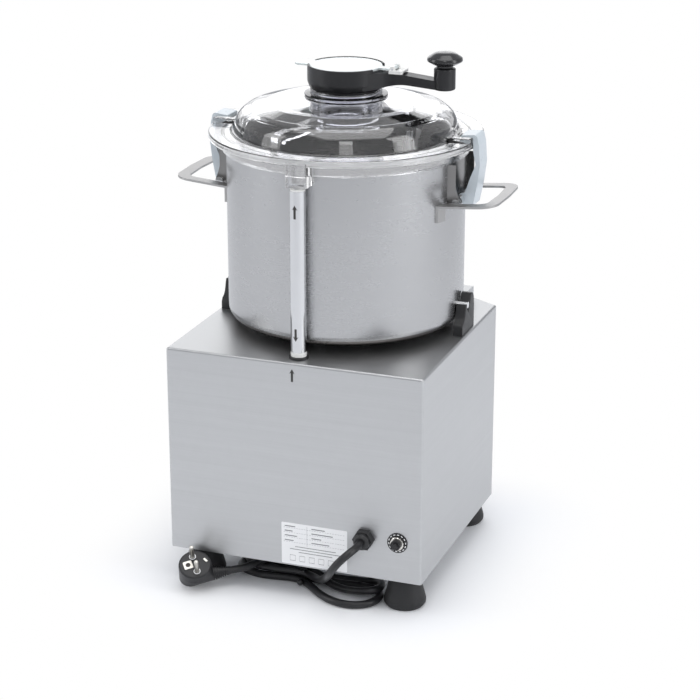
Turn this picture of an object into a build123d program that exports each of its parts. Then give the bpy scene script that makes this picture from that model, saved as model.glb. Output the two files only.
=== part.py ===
"""Nine-litre tabletop bowl cutter: motor housing, lift-off bowl, clear lid with a hand crank.

Units are millimetres. +Z is up, the operator stands on the -Y side, and the mains lead
leaves the +Y side. The origin is on the floor, midway across the machine's width and depth.
"""
from build123d import *
import os
from math import cos, hypot, pi, radians, sin, tan

os.makedirs("parts", exist_ok=True)

# ---------------------------------------------------------------- driving dimensions
# bowl
bowl_radius = 127.8
bowl_wall = 1.8
bowl_height = 195.5
bowl_corner = 12.0
bowl_clearance = 7.5
tube_radius = 20.8
tube_wall = 1.8
tube_height = 62.0

# housing
side_margin = 14.7
back_margin = 19.5
body_depth = 257.5
body_height = 228.0
front_bow = 17.5
corner_run = 29.5
sheet = 1.5
bend = 2.5
bottom_lip = 44.0

# feet
foot_height = 38.0
foot_base_radius = 22.5
foot_top_radius = 15.2
rear_foot_inset = (27.0, 28.7)
front_foot_inset = (32.5, 0.5)

# control hood
hood_width = 220.0
hood_depth = 27.0
hood_rise = 13.5
hood_drop = 72.0
hood_gap = 4.0
control_pitch = 48.0
control_neck = 10.5
control_depth = 14.0
button_radius = 9.0
button_travel = 3.0
dial_radius = 17.0
dial_height = 14.5

# drive
shaft_radius = 9.0
shaft_flat = 7.2
shaft_reach = 92.0
running_gap = 0.05
slip_gap = 0.35
boss_radius = 44.0
motor_radius = 54.0
motor_length = 116.0
frame_width = 128.0

# blades
hub_wall = 3.5
hub_flange = 5.5
blade_gap = 8.0
blade_thickness = 2.5
blade_step = 24.0
floor_gap = 4.0

# lid
flange_reach = 18.2
flange_thickness = 7.0
dome_inset = 5.8
dome_rise = 36.0
lid_wall = 3.0
skirt_depth = 13.0
skirt_wall = 3.2
skirt_gap = 1.2
gasket_proud = 1.0
neck_radius = 38.5
neck_wall = 3.0
neck_drop = 18.0
catch_rise = 5.0

# crank
crank_radius = 41.0
crank_height = 21.5
crank_gap = 9.0
crank_reach = 108.7
arm_width = 17.0
grip_boss_radius = 11.3
grip_boss_height = 23.0
grip_radius = 18.7
feed_radius = 28.0
hinge_reach = 54.0
flap_radius = 38.5
flap_thickness = 2.0
hinge_pin = 1.3
scraper_turn = 65.0

# handles
handle_span = 90.0
handle_out = 54.2
handle_bar = (12.0, 2.4)
handle_drop = 56.2
handle_tab = 15.0
handle_tilt = 5.0

# latches
latch_width = 26.0
latch_wall = 3.2
pivot_offset = 5.5
pivot_radius = 2.5
bracket_width = 66.0
hook_gap = 0.35
ramp_slope = 26.0
hook_slope = 20.0

# interlock
rod_radius = 8.3
rod_wall = 1.2
rod_offset = 13.7
push_radius = 3.5
plunger_radius = 3.0
seat_height = 2.2

# bowl guides
guide_length = 41.0
guide_height = 40.0
guide_reach = 11.6
v_depth = 20.0
v_half = 9.0
pin_radius = 3.5

# rear fittings and mains lead
gland_inset = 62.5
gland_rise = 82.0
gland_flats = 20.0
gland_length = 14.0
breaker_inset = 26.2
breaker_rise = 82.5
cord_radius = 4.15

# ---------------------------------------------------------------- derived places
body_width = 2 * (bowl_radius + side_margin)
body_top = foot_height + body_height
flange_radius = bowl_radius + flange_reach
dome_radius = bowl_radius - dome_inset
bowl_back = bowl_radius + rod_offset + back_margin
overall_depth = gland_length + bowl_back + flange_radius
rear_y = overall_depth / 2 - gland_length
side_front_y = rear_y - body_depth
front_y = side_front_y - front_bow
bowl_y = rear_y - bowl_back
bowl_floor = body_top + bowl_clearance
rim = bowl_floor + bowl_height
flange_bottom = rim + gasket_proud
flange_top = flange_bottom + flange_thickness
skirt_inner = bowl_radius + skirt_gap
skirt_outer = skirt_inner + skirt_wall
skirt_bottom = flange_bottom - skirt_depth
dome_top = flange_top + dome_rise
crank_bottom = dome_top + crank_gap
crank_top = crank_bottom + crank_height
carrier_radius = neck_radius - neck_wall - slip_gap
carrier_low = dome_top - neck_drop - 11.0
rod_y = bowl_y + bowl_radius + rod_offset
rod_bottom = body_top + seat_height + 0.3
rod_top = rim - 24.0
lug_bottom = rod_top + 3.2
plunger_top = body_top + 1.0
handle_z = rim - handle_drop
pivot_x = bowl_radius + pivot_offset
pivot_z = handle_z + 3.2
boss_neck = tube_radius - tube_wall - slip_gap
hub_bore = tube_radius + 1.2
hub_radius = hub_bore + hub_wall
hub_base = bowl_floor + bowl_wall + floor_gap
hub_head = bowl_floor + bowl_wall + tube_height + 3.0
hub_top = bowl_floor + shaft_reach + 6.0
blade_z = hub_base + 4.0
blade_reach = bowl_radius - bowl_wall - blade_gap
frame_top = body_top - sheet - 8.0
motor_top = frame_top - 10.0
motor_bottom = motor_top - motor_length
fan_z = motor_bottom - 18.0
panel_y = front_y - sheet
panel_middle = body_top - 36.0
gland_place = (gland_inset - body_width / 2, gland_rise)
breaker_place = (breaker_inset - body_width / 2, breaker_rise)
centre = Pos(0, bowl_y, 0)


# ---------------------------------------------------------------- shape helpers
def post(radius, height, z, x=0.0, y=0.0):
    """Upright round bar standing on z."""
    return Pos(x, y, z + height / 2) * Cylinder(radius, height)


def tube(outer, inner, height, z, x=0.0, y=0.0):
    """Upright round tube standing on z."""
    return post(outer, height, z, x, y) - post(inner, height + 2, z - 1, x, y)


def block(x_range, y_range, z_range):
    """Box between two corners."""
    ranges = (x_range, y_range, z_range)
    size = [high - low for low, high in ranges]
    middle = [(high + low) / 2 for low, high in ranges]
    return Pos(*middle) * Box(*size)


def turned(points, radii):
    """Solid of revolution about the vertical axis from a closed (radius, height) outline."""
    outline = FilletPolyline(*points, radius=radii, close=True)
    return revolve(make_face(Plane.XZ * outline), Axis.Z)


def profile_x(points, radii, width):
    """Plate of this width across X with a closed (y, z) outline."""
    places = [(0, y, z) for y, z in points]
    face = make_face(FilletPolyline(*places, radius=radii, close=True))
    return Pos(-width / 2, 0, 0) * extrude(face, width, dir=(1, 0, 0))


def profile_y(points, radii, width):
    """Plate of this width across Y with a closed (x, z) outline."""
    places = [(x, 0, z) for x, z in points]
    face = make_face(FilletPolyline(*places, radius=radii, close=True))
    return Pos(0, -width / 2, 0) * extrude(face, width, dir=(0, 1, 0))


def bar_y(radius, length, x, z, y=0.0):
    """Round bar across Y, centred on y."""
    return Pos(x, y, z) * Rot(90, 0, 0) * Cylinder(radius, length)


def hexagon(flats, height, z):
    """Upright hexagon bar standing on z."""
    return extrude(Pos(0, 0, z) * RegularPolygon(flats / 2, 6, major_radius=False), height)


def mirrored(shape):
    """The same piece on the other side of the machine."""
    return mirror(shape, Plane.YZ)


def save(name, *shapes):
    """Write one node; several shapes make a group of separate solids."""
    solids = [solid for shape in shapes for solid in shape.solids()]
    shape = solids[0] if len(solids) == 1 else Compound(children=solids)
    export_step(shape, f"parts/{name}.step")


# ---------------------------------------------------------------- housing
def housing_outline(inset=0.0):
    """Plan of the folded housing: square at the rear, cut corners at the front."""
    half = body_width / 2
    points = [
        (-half, rear_y),
        (half, rear_y),
        (half, side_front_y),
        (half - corner_run, front_y),
        (corner_run - half, front_y),
        (-half, side_front_y),
    ]
    face = make_face(Polyline(*points, close=True))
    if inset > 0:
        face = offset(face, -inset, kind=Kind.INTERSECTION)
    if inset < bend:
        face = fillet(face.vertices(), bend - inset)
    return face


def control_places():
    """Start, stop and pulse buttons and the speed dial, from the operator's right to left."""
    return [(1.5 - index) * control_pitch for index in range(4)]


def at_panel(x, shape):
    """Put a piece built along +Z on the panel face, pointing at the operator."""
    return Pos(x, panel_y, panel_middle) * Rot(90, 0, 0) * shape


def at_rear(place, shape):
    """Put a piece built along +Z on the rear face, pointing away from the operator."""
    x, z = place
    return Pos(x, rear_y, z) * Rot(-90, 0, 0) * shape


def make_housing():
    shell = extrude(Pos(0, 0, foot_height) * housing_outline(), body_height)
    shell = fillet(shell.edges().group_by(Axis.Z)[-1], bend)
    cavity = body_height - 2 * sheet
    shell -= extrude(Pos(0, 0, foot_height + sheet) * housing_outline(sheet), cavity)
    shell -= extrude(Pos(0, 0, foot_height - 1) * housing_outline(bottom_lip), sheet + 2)
    shell -= post(boss_neck + slip_gap, 10, body_top - 5, 0, bowl_y)
    shell -= post(plunger_radius + 0.6, 10, body_top - 5, 0, rod_y)
    for x in control_places():
        shell -= at_panel(x, post(control_neck + slip_gap, 20, -10))
    shell -= at_rear(gland_place, post(8.0 + slip_gap, 10, -5))
    shell -= at_rear(breaker_place, post(5.5 + slip_gap, 10, -5))
    return shell


def make_base_plate():
    """Bottom plate with the motor's air slots, lying inside on the folded lip."""
    z = foot_height + sheet
    plate = extrude(Pos(0, 0, z) * housing_outline(sheet + slip_gap), sheet)
    vent = Pos(0, 0, z) * SlotOverall(44, 4)
    for column in (-1, 1):
        for row in range(7):
            plate -= extrude(Pos(column * 30, bowl_y - 36 + row * 12, 0) * vent, sheet)
    return plate


def foot_places():
    """Rear pair near the corners, front pair drawn in behind the cut corners."""
    rear_x = body_width / 2 - rear_foot_inset[0]
    front_x = body_width / 2 - front_foot_inset[0]
    rear = rear_y - rear_foot_inset[1]
    front = side_front_y + front_foot_inset[1]
    return {
        "rear_left": (-rear_x, rear),
        "rear_right": (rear_x, rear),
        "front_left": (-front_x, front),
        "front_right": (front_x, front),
    }


def make_foot(x, y):
    """Rubber foot: a flared cone with a hollow base round its screw seat."""
    points = [
        (9.0, 0),
        (foot_base_radius - 3, 0),
        (foot_base_radius, 4),
        (foot_base_radius, 8),
        (foot_top_radius, foot_height - 3),
        (foot_top_radius, foot_height),
        (3.2, foot_height),
        (3.2, 12.0),
        (9.0, 12.0),
    ]
    return Pos(x, y, 0) * turned(points, [0.8, 1.2, 1.5, 4.0, 1.5, 0, 0, 0, 1.0])


def make_control_hood():
    """Folded cover over the front edge of the top: control panel below, and above it a raised
    ridge that is cut away in an arc where the bowl hangs over it."""
    outline = [
        (panel_y, body_top - hood_drop),
        (front_y, body_top - hood_drop),
        (front_y, body_top),
        (front_y + hood_depth, body_top),
        (front_y + hood_depth - 1.5, body_top + hood_rise),
        (panel_y, body_top + hood_rise),
    ]
    inner = [
        (front_y, body_top - 5),
        (front_y + hood_depth - sheet, body_top - 5),
        (front_y + hood_depth - sheet, body_top),
        (front_y + hood_depth - sheet - 1.5, body_top + hood_rise - sheet),
        (front_y, body_top + hood_rise - sheet),
    ]
    hood = profile_x(outline, [0.6, 0, 0, 0, bend, bend], hood_width)
    hollow = profile_x(inner, [0, 0, 0, bend - sheet, bend - sheet], hood_width - 2 * sheet)
    hood -= post(bowl_radius + hood_gap, 40, body_top, 0, bowl_y)
    hood -= hollow - post(bowl_radius + hood_gap + sheet, 100, body_top - 50, 0, bowl_y)
    for x in control_places():
        hood -= at_panel(x, post(control_neck + slip_gap, 20, -10))
    return hood


def make_control_body(x):
    """Panel body of a push button: rim outside, neck through the panel, contact block inside."""
    rim_ring = turned(
        [(button_radius + 0.5, 0), (15.0, 0), (15.0, 3.0), (13.5, 5.0), (button_radius + 0.5, 5.0)],
        [0, 0, 1.0, 0.8, 0.8],
    )
    neck = post(control_neck, 2 * sheet + 0.5, -2 * sheet)
    contacts = block((-11, 11), (-13, 13), (-2 * sheet - control_depth, -2 * sheet))
    return at_panel(x, rim_ring + neck + contacts - post(4.4, 40, -38))


def make_button(x):
    low = button_travel + 0.9
    points = [(0, low), (button_radius, low), (button_radius, 8.0), (0, 8.6)]
    cap = turned(points, [0, 0.6, 1.8, 0])
    return at_panel(x, cap + post(4.0, 13, -8.5))


def make_dial_body(x):
    """Potentiometer of the speed dial with its bush and nut."""
    body = post(11.0, control_depth, -2 * sheet - control_depth)
    bush = post(control_neck, 2 * sheet + 0.5, -2 * sheet)
    hole = post(3.0 + running_gap, 40, -2 * sheet - 9)
    return at_panel(x, body + bush - hole)


def make_speed_dial(x):
    """Fluted dial with a pointer groove, on the shaft of its potentiometer."""
    dial = turned(
        [
            (0, 1.0),
            (dial_radius, 1.0),
            (dial_radius, 3.5),
            (13.2, 4.5),
            (12.0, dial_height),
            (0, dial_height),
        ],
        [0, 0.8, 1.0, 1.5, 1.5, 0],
    )
    for index in range(16):
        dial -= Rot(0, 0, index * 22.5) * post(1.1, 12, 5.5, 13.3, 0)
    dial -= block((-0.8, 0.8), (4, 13), (dial_height - 1, dial_height + 1))
    return at_panel(x, dial + post(3.0, 12, -10.5))


# ---------------------------------------------------------------- drive
def make_drive_boss():
    """Collar on the top plate: the bowl rests on its shoulder and slips over its neck."""
    points = [
        (shaft_radius + 4.5, -sheet - 8.0),
        (boss_neck, -sheet - 8.0),
        (boss_neck, 0),
        (boss_radius, 0),
        (boss_radius, bowl_clearance),
        (boss_neck, bowl_clearance),
        (boss_neck, bowl_clearance + 22.0),
        (shaft_radius + 4.5, bowl_clearance + 22.0),
    ]
    boss = turned(points, [0, 0, 0, 0, 1.2, 0, 1.5, 1.0])
    return Pos(0, bowl_y, body_top) * boss


def make_motor_frame():
    """Upper end plate of the motor with its bearing seat, hung from the top by four posts."""
    frame = extrude(Pos(0, 0, frame_top - 4) * RectangleRounded(frame_width, frame_width, 12), 4)
    reach = frame_width / 2 - 9
    for x in (-reach, reach):
        for y in (-reach, reach):
            frame += post(5, body_top - sheet - frame_top, frame_top, x, y)
    frame += post(motor_radius - 6, 6, motor_top)
    frame += post(21, 16, motor_top - 6)
    frame -= post(17 + 0.02, 11, motor_top - 6)
    frame -= post(shaft_radius + 1, 40, motor_top - 10)
    return centre * frame


def make_motor_case():
    """Ribbed motor case and its lower end plate."""
    inner = motor_radius - 11
    case = tube(motor_radius - 6, inner, motor_length - 6, motor_bottom + 6)
    rib_z = (motor_bottom + 12, motor_top - 6)
    rib = block((motor_radius - 6.5, motor_radius), (-1.2, 1.2), rib_z)
    for index in range(20):
        case += Rot(0, 0, index * 18) * rib
    bell = post(motor_radius - 6, 6, motor_bottom) + post(21, 12, motor_bottom)
    bell -= post(17 + 0.02, 11, motor_bottom + 2)
    bell -= post(shaft_radius + 1, 40, motor_bottom - 10)
    return centre * case, centre * bell


def make_stator():
    """Stator pack with its slots, and the winding heads above and below it."""
    outer = motor_radius - 11.02
    low = motor_bottom + 28
    pack = tube(outer, 30, 60, low)
    slot = block((29, 37), (-2.2, 2.2), (low - 1, low + 61))
    for index in range(12):
        pack -= Rot(0, 0, index * 30) * slot
    heads = [tube(outer - 2, 32, 11, z) for z in (low - 11, low + 60)]
    return [centre * piece for piece in (pack, *heads)]


def make_rotor():
    return centre * tube(29.3, shaft_radius, 62, motor_bottom + 27)


def make_bearings():
    """Two ball bearings, drawn as closed rings with a seal groove."""
    rings = []
    for z in (motor_bottom + 2, motor_top - 6):
        ring = tube(17.0, shaft_radius + running_gap, 10, z)
        rings.append(centre * (ring - tube(14.5, 11.5, 1.0, z + 9.0)))
    return rings


def make_fan():
    """Cooling fan under the motor."""
    fan = tube(13, shaft_radius, 10, fan_z)
    fan += tube(44, 12, 1.5, fan_z + 8.5)
    vane = block((12, 43), (-0.8, 0.8), (fan_z, fan_z + 9))
    for index in range(9):
        fan += Rot(0, 0, index * 40) * vane
    return centre * fan


def make_shaft():
    """Spindle with two flats in its head; the blade hub drops over them onto the shoulders."""
    top = bowl_floor + shaft_reach
    shoulder = hub_head + 3.0
    shaft = post(shaft_radius, top - fan_z, fan_z)
    shaft = chamfer(shaft.edges().sort_by(Axis.Z)[-1], 1.2)
    for side in (-1, 1):
        flat = block((shaft_flat, 20), (-20, 20), (shoulder, top + 1))
        shaft -= flat if side > 0 else mirrored(flat)
    return centre * shaft


def make_circuit_board():
    """Speed controller on stand-offs beside the motor, with its heat sink."""
    low = foot_height + 2 * sheet
    x = body_width / 2 - 34
    board = block((x, x + 1.6), (bowl_y - 45, bowl_y + 45), (low + 6, low + 86))
    sink = block((x + 1.6, x + 20), (bowl_y - 20, bowl_y + 36), (low + 40, low + 80))
    for index in range(6):
        y = bowl_y - 16 + index * 9
        sink -= block((x + 5, x + 30), (y, y + 5), (low + 30, low + 90))
    for y in (bowl_y - 36, bowl_y + 36):
        board += block((x - 3, x + 5), (y - 5, y + 5), (low, low + 8))
    return board + sink


# ---------------------------------------------------------------- interlock
def make_interlock_switch():
    """Micro switch under the top plate, hung by its two ears."""
    top = body_top - sheet
    case = block((-14, 14), (rod_y - 5.5, rod_y + 5.5), (top - 30, top - 12))
    case -= post(plunger_radius + slip_gap, 13, top - 24, 0, rod_y)
    ear = block((14, 18), (rod_y - 5.5, rod_y + 5.5), (top - 30, top))
    return case + ear + mirrored(ear)


def make_switch_plunger():
    """Sprung pin of the switch; the interlock rod holds it down while the lid is closed."""
    low = body_top - sheet - 18
    return post(plunger_radius, plunger_top - low, low, 0, rod_y)


def make_rod_seat():
    """Black ring on the top plate that takes the foot of the interlock tube."""
    seat = tube(rod_radius + 2.0, plunger_radius + 0.6, seat_height, body_top, 0, rod_y)
    outer_edge = seat.edges().group_by(Axis.Z)[-1].sort_by(SortBy.RADIUS)[-1]
    return fillet(outer_edge, 0.9)


def make_interlock_tube():
    """Polished tube beside the bowl and the two spacers that weld it to the bowl wall."""
    low = rod_bottom + 5.0
    pieces = [tube(rod_radius, rod_radius - rod_wall, rod_top - low, low, 0, rod_y)]
    for z in (rod_top - 20, rod_bottom + 30):
        strap = block((-3, 3), (bowl_y + bowl_radius - 2, rod_y - 4), (z, z + 9))
        strap -= post(bowl_radius + 0.02, 20, z - 4, 0, bowl_y)
        strap -= post(rod_radius + 0.02, 20, z - 4, 0, rod_y)
        pieces.append(strap)
    return pieces


def make_tube_bushes():
    """White bush in the foot of the tube and the guide bush in its head."""
    bore = push_radius + running_gap
    inner = rod_radius - rod_wall - 0.02
    foot = tube(rod_radius, bore, 5.0, rod_bottom, 0, rod_y)
    foot += tube(inner, bore, 8.0, rod_bottom + 4.5, 0, rod_y)
    head = tube(rod_radius - 0.5, bore, 1.4, rod_top, 0, rod_y)
    head += tube(inner, bore, 10.0, rod_top - 9.5, 0, rod_y)
    return foot, head


def make_push_rod():
    """Rod inside the tube: the lid presses it down onto the switch."""
    rod = post(push_radius, lug_bottom - plunger_top - 0.1, plunger_top + 0.05, 0, rod_y)
    rod += post(rod_radius - rod_wall - 0.5, 3, rod_bottom + 60, 0, rod_y)
    return rod


def make_springs():
    """Return spring under the rod's collar, and the torsion springs on the latch pins."""
    low = rod_bottom + 12.8
    height = 60 - 12.8 - 0.1
    return_spring = tube(rod_radius - rod_wall - 0.5, push_radius + 0.4, height, low, 0, rod_y)
    half = latch_width / 2
    coil = bar_y(4.6, 9.0, pivot_x, pivot_z, half + 8.0)
    coil += bar_y(4.6, 9.0, pivot_x, pivot_z, -half - 8.0)
    coil -= bar_y(pivot_radius + 0.1, 200, pivot_x, pivot_z)
    coils = centre * coil
    return return_spring, coils, mirrored(coils)


# ---------------------------------------------------------------- bowl
def make_bowl():
    """Deep-drawn pan with a welded centre tube that clears the shaft."""
    inner_radius = bowl_radius - bowl_wall
    inner_floor = bowl_floor + bowl_wall
    points = [
        (tube_radius - tube_wall, bowl_floor),
        (bowl_radius, bowl_floor),
        (bowl_radius, rim),
        (inner_radius, rim),
        (inner_radius, inner_floor),
        (tube_radius, inner_floor),
        (tube_radius, inner_floor + tube_height),
        (tube_radius - tube_wall, inner_floor + tube_height),
    ]
    radii = [0, bowl_corner, 0.5, 0.5, bowl_corner - bowl_wall, 3.0, 0.6, 0.6]
    return centre * turned(points, radii)


def make_handle():
    """Flat bar bent round in a D; its ends are turned down and welded to the bowl."""
    bar, thickness = handle_bar
    half = handle_span / 2
    out = half + bar / 2
    inside = half - bar / 2
    end = bowl_radius + handle_out
    start = bowl_radius - 12.0
    outer = [(start, -out), (end - 2, -out), (end, 0), (end - 2, out), (start, out)]
    inner = [
        (start - 5, -inside),
        (end - bar - 2, -inside),
        (end - bar, 0),
        (end - bar - 2, inside),
        (start - 5, inside),
    ]
    plate = make_face(FilletPolyline(*outer, radius=[0, 18, 60, 18, 0], close=True))
    hole = make_face(FilletPolyline(*inner, radius=[0, 9, 60, 9, 0], close=True))
    loop = Pos(-start, 0, 0) * extrude(plate - hole, thickness)
    loop = Pos(start, 0, handle_z) * Rot(0, -handle_tilt, 0) * loop
    shell = tube(bowl_radius + thickness, bowl_radius + 0.02, 60, handle_z - 40)
    for side in (-1, 1):
        leg = block(
            (start, end),
            (side * half - bar / 2, side * half + bar / 2),
            (handle_z - handle_tab, handle_z + thickness),
        )
        loop += leg & shell
    return centre * (loop - post(bowl_radius + 0.02, 80, handle_z - 40))


def make_latch_bracket():
    """Folded steel channel welded to the bowl; its two ears carry the latch pin."""
    half = bracket_width / 2
    low = pivot_z - 3.0
    high = skirt_bottom - 1.0
    ear = [
        (bowl_radius - 6, low),
        (pivot_x + 1, pivot_z - 5.0),
        (pivot_x + 5, pivot_z),
        (pivot_x + 1.5, pivot_z + 9.0),
        (bowl_radius + 5, pivot_z + 16.0),
        (bowl_radius + 5, high),
        (bowl_radius - 6, high),
    ]
    channel = profile_y(ear, [0, 4.5, 4.0, 3.0, 4.0, 1.0, 0], bracket_width)
    pocket = block((0, pivot_x + 20), (sheet - half, half - sheet), (low - 20, high + 1))
    web = block((0, pivot_x), (-half, half), (low, high)) & tube(
        bowl_radius + 0.02 + sheet, bowl_radius - 5, high - low, low
    )
    channel = channel - pocket + web
    channel -= post(bowl_radius + 0.02, 200, low - 50)
    channel -= bar_y(pivot_radius + 0.02, 200, pivot_x, pivot_z)
    return centre * channel


def make_latch_pin():
    length = bracket_width + 3.0
    pin = bar_y(pivot_radius, length, pivot_x, pivot_z)
    for side in (-1, 1):
        pin += bar_y(4.2, 1.4, pivot_x, pivot_z, side * (bracket_width / 2 + 0.8))
    return centre * pin


def catch_line(offset_x, gap):
    """Height of the lid's catch ramp, or of the hook above it, at pivot_x + offset_x."""
    slope = tan(radians(hook_slope if gap > 0 else ramp_slope))
    return flange_top + 1.0 + gap - (offset_x + 2.3) * slope


def make_latch():
    """Moulded lever: pivot foot, hollow back, and a solid hook over the lid's catch ramp."""
    outline = [
        (-3.4, -2.9),
        (6.0, -8.0),
        (11.7, -10.0),
        (16.5, 15.0),
        (19.2, 37.0),
        (17.6, flange_top - pivot_z - 3.0),
        (15.0, flange_top - pivot_z + 8.0),
        (-2.3, flange_top - pivot_z + 6.2),
        (-2.3, catch_line(-2.3, hook_gap) - pivot_z),
        (11.1, catch_line(11.1, hook_gap) - pivot_z),
        (11.6, flange_top - pivot_z - 10.0),
        (14.6, 37.0),
        (8.5, 22.0),
        (3.5, 6.0),
        (-3.4, 4.5),
    ]
    radii = [3.0, 2.0, 3.0, 20.0, 12.0, 6.0, 4.0, 1.5, 0.6, 0.8, 4.0, 6.0, 8.0, 4.0, 3.0]
    points = [(pivot_x + x, pivot_z + z) for x, z in outline]
    lever = profile_y(points, radii, latch_width)
    pocket = [
        (-12.0, -14.0),
        (7.2, -14.0),
        (12.0, 15.0),
        (15.4, 40.0),
        (2.0, 40.0),
        (-12.0, 10.0),
    ]
    points = [(pivot_x + x, pivot_z + z) for x, z in pocket]
    lever -= profile_y(points, [0, 0, 8.0, 0, 0, 0], latch_width - 2 * latch_wall)
    lever -= bar_y(pivot_radius + running_gap, 100, pivot_x, pivot_z)
    return centre * lever


def make_guide():
    """Black guide beside the bowl, with a V that the bowl's pin drops into."""
    inner = bowl_radius + 0.4
    half = guide_length / 2
    points = [
        (-half, body_top),
        (half, body_top),
        (half - 2.5, body_top + guide_height),
        (v_half, body_top + guide_height),
        (0, body_top + guide_height - v_depth),
        (-v_half, body_top + guide_height - 5.0),
        (3.0 - half, body_top + guide_height - 6.0),
    ]
    places = [(0, y, z) for y, z in points]
    radii = [0, 0, 5.0, 2.5, pin_radius, 2.5, 4.0]
    face = make_face(FilletPolyline(*places, radius=radii, close=True))
    width = bowl_radius + guide_reach - inner + 8
    guide = Pos(inner - 8, 0, 0) * extrude(face, width, dir=(1, 0, 0))
    guide -= post(inner, 100, body_top - 10)
    recess = block(
        (inner + 2.4, bowl_radius + guide_reach - 2.4),
        (half - 9, half + 5),
        (body_top + 12, body_top + 28),
    )
    return centre * (guide - recess)


def make_bowl_pin():
    """Stud on the bowl that rests just above the flanks of the guide's V."""
    rise = pin_radius * hypot(v_half, v_depth) / v_half + slip_gap * 2
    z = body_top + guide_height - v_depth + rise
    stud = Pos(bowl_radius + 2, 0, z) * Rot(0, 90, 0) * Cylinder(pin_radius, 18)
    return centre * (stud - post(bowl_radius + 0.02, 40, z - 20))


# ---------------------------------------------------------------- blades
def make_blade_hub():
    """Deep cap over the bowl's tube; two flats in its head take the drive."""
    points = [
        (hub_bore, hub_base),
        (hub_radius + hub_flange, hub_base),
        (hub_radius + hub_flange, blade_z),
        (hub_radius, blade_z),
        (hub_radius, hub_head),
        (shaft_radius + 7.0, hub_top),
        (0, hub_top),
        (0, hub_head),
        (hub_bore, hub_head),
    ]
    hub = turned(points, [0.5, 1.0, 0.5, 0, 12.0, 4.0, 0, 0, 2.0])
    shoulder = hub_head + 3.0
    top = bowl_floor + shaft_reach + 1.0
    bore = post(shaft_radius + running_gap, top - hub_head + 1, hub_head - 1)
    flat = shaft_flat + running_gap
    for side in (-1, 1):
        land = block((flat, 20), (-20, 20), (shoulder, top + 1))
        bore -= land if side > 0 else mirrored(land)
    return centre * (hub - bore)


def make_blade(level, turn):
    """Two-winged sickle blade: ring round the hub, swept wings, ground leading edges."""
    bore = hub_radius + 0.05
    ring = bore + 6.0
    tip = (blade_reach * cos(radians(27)), blade_reach * sin(radians(27)))
    edge = ThreePointArc((0, -ring), (blade_reach * 0.73, -blade_reach * 0.20), tip)
    back = ThreePointArc(tip, (blade_reach * 0.52, blade_reach * 0.14), (0, ring))
    wing = make_face(Curve() + [edge, back, Line((0, ring), (0, -ring))])
    plan = Circle(ring) + wing + Rot(0, 0, 180) * wing
    blade = extrude(plan, blade_thickness)
    top_face = blade.faces().sort_by(Axis.Z)[-1]
    leading = [e for e in top_face.edges() if abs(e.length - edge.length) < 0.5]
    blade = chamfer(leading, 7.0, blade_thickness - 0.4, reference=top_face)
    blade -= post(bore, 10, -2)
    return centre * Rot(0, 0, turn) * Pos(0, 0, blade_z + level) * blade


def make_blade_clamp():
    """Spacer between the blades and the slotted ring nut above them."""
    bore = hub_radius + 0.05
    spacer = tube(hub_radius + 4.5, bore, blade_step - blade_thickness, blade_z + blade_thickness)
    z = blade_z + blade_step + blade_thickness
    nut = tube(hub_radius + 5.5, bore, 9.0, z)
    nut = chamfer(nut.edges().group_by(Axis.Z)[-1].sort_by(SortBy.RADIUS)[-1], 2.0)
    for index in range(6):
        nut -= Rot(0, 0, index * 60) * post(3.0, 20, z + 3, hub_radius + 6.0, 0)
    return centre * spacer, centre * nut


# ---------------------------------------------------------------- lid
def make_lid_shell():
    """Revolved part of the clear lid: skirt, broad flange and dome with a centre hole."""
    bore = neck_radius + 0.1
    shoulder = (dome_radius - 17.0, dome_top - 11.5)
    corner = (dome_radius - 7.0, dome_top - 19.5)
    crown = (dome_radius - 42.0, dome_top - 5.0)
    wall = lid_wall
    points = [
        (skirt_inner, skirt_bottom),
        (skirt_outer, skirt_bottom),
        (skirt_outer, flange_bottom),
        (flange_radius, flange_bottom),
        (flange_radius, flange_top),
        (dome_radius, flange_top),
        corner,
        shoulder,
        crown,
        (neck_radius + 6, dome_top),
        (bore, dome_top),
        (bore, dome_top - wall),
        (neck_radius + 6, dome_top - wall),
        (crown[0] - 0.5, crown[1] - wall),
        (shoulder[0] - 2.0, shoulder[1] - wall),
        (corner[0] - 3.0, corner[1] - 0.8 * wall),
        (dome_radius - wall - 1.5, flange_bottom),
        (bowl_radius - 4.0, flange_bottom),
        (bowl_radius - 4.0, flange_bottom + 3.0),
        (bowl_radius + 0.4, flange_bottom + 3.0),
        (bowl_radius + 0.4, flange_bottom),
        (skirt_inner, flange_bottom),
    ]
    radii = [0.8, 1.2, 1.0, 1.2, 1.5, 2, 18, 20, 50, 15, 0, 0, 15, 50, 20, 15, 0, 0, 0, 0, 0, 0]
    return turned(points, radii)


def make_lid_catch():
    """Raised pad on the flange, and the channel and ramp that the latch hook bears on."""
    half = latch_width / 2 + 11.0
    pad = block(
        (dome_radius - 20.0, flange_radius - 1.0),
        (-half, half),
        (flange_bottom + 3.5, flange_top + catch_rise),
    )
    edges = pad.edges().filter_by(Axis.Z).sort_by(Axis.X)[-2:]
    pad = fillet(edges, 4.0)
    pad = fillet(pad.edges().group_by(Axis.Z)[-1], 1.5)
    pad -= post(dome_radius - 4.0, 60, flange_bottom)
    low_end = catch_line(9.9, 0)
    floor = flange_top + 1.0
    channel = profile_y(
        [
            (pivot_x - 9.0, floor + 30),
            (pivot_x - 9.0, floor),
            (pivot_x - 2.3, floor),
            (pivot_x + 9.9, low_end),
            (pivot_x + 9.9, flange_bottom - 4),
            (pivot_x + 40, flange_bottom - 4),
            (pivot_x + 40, floor + 30),
        ],
        [0, 1.5, 0.8, 0.5, 0, 0, 0],
        latch_width + 3.0,
    )
    return pad, channel


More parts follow.
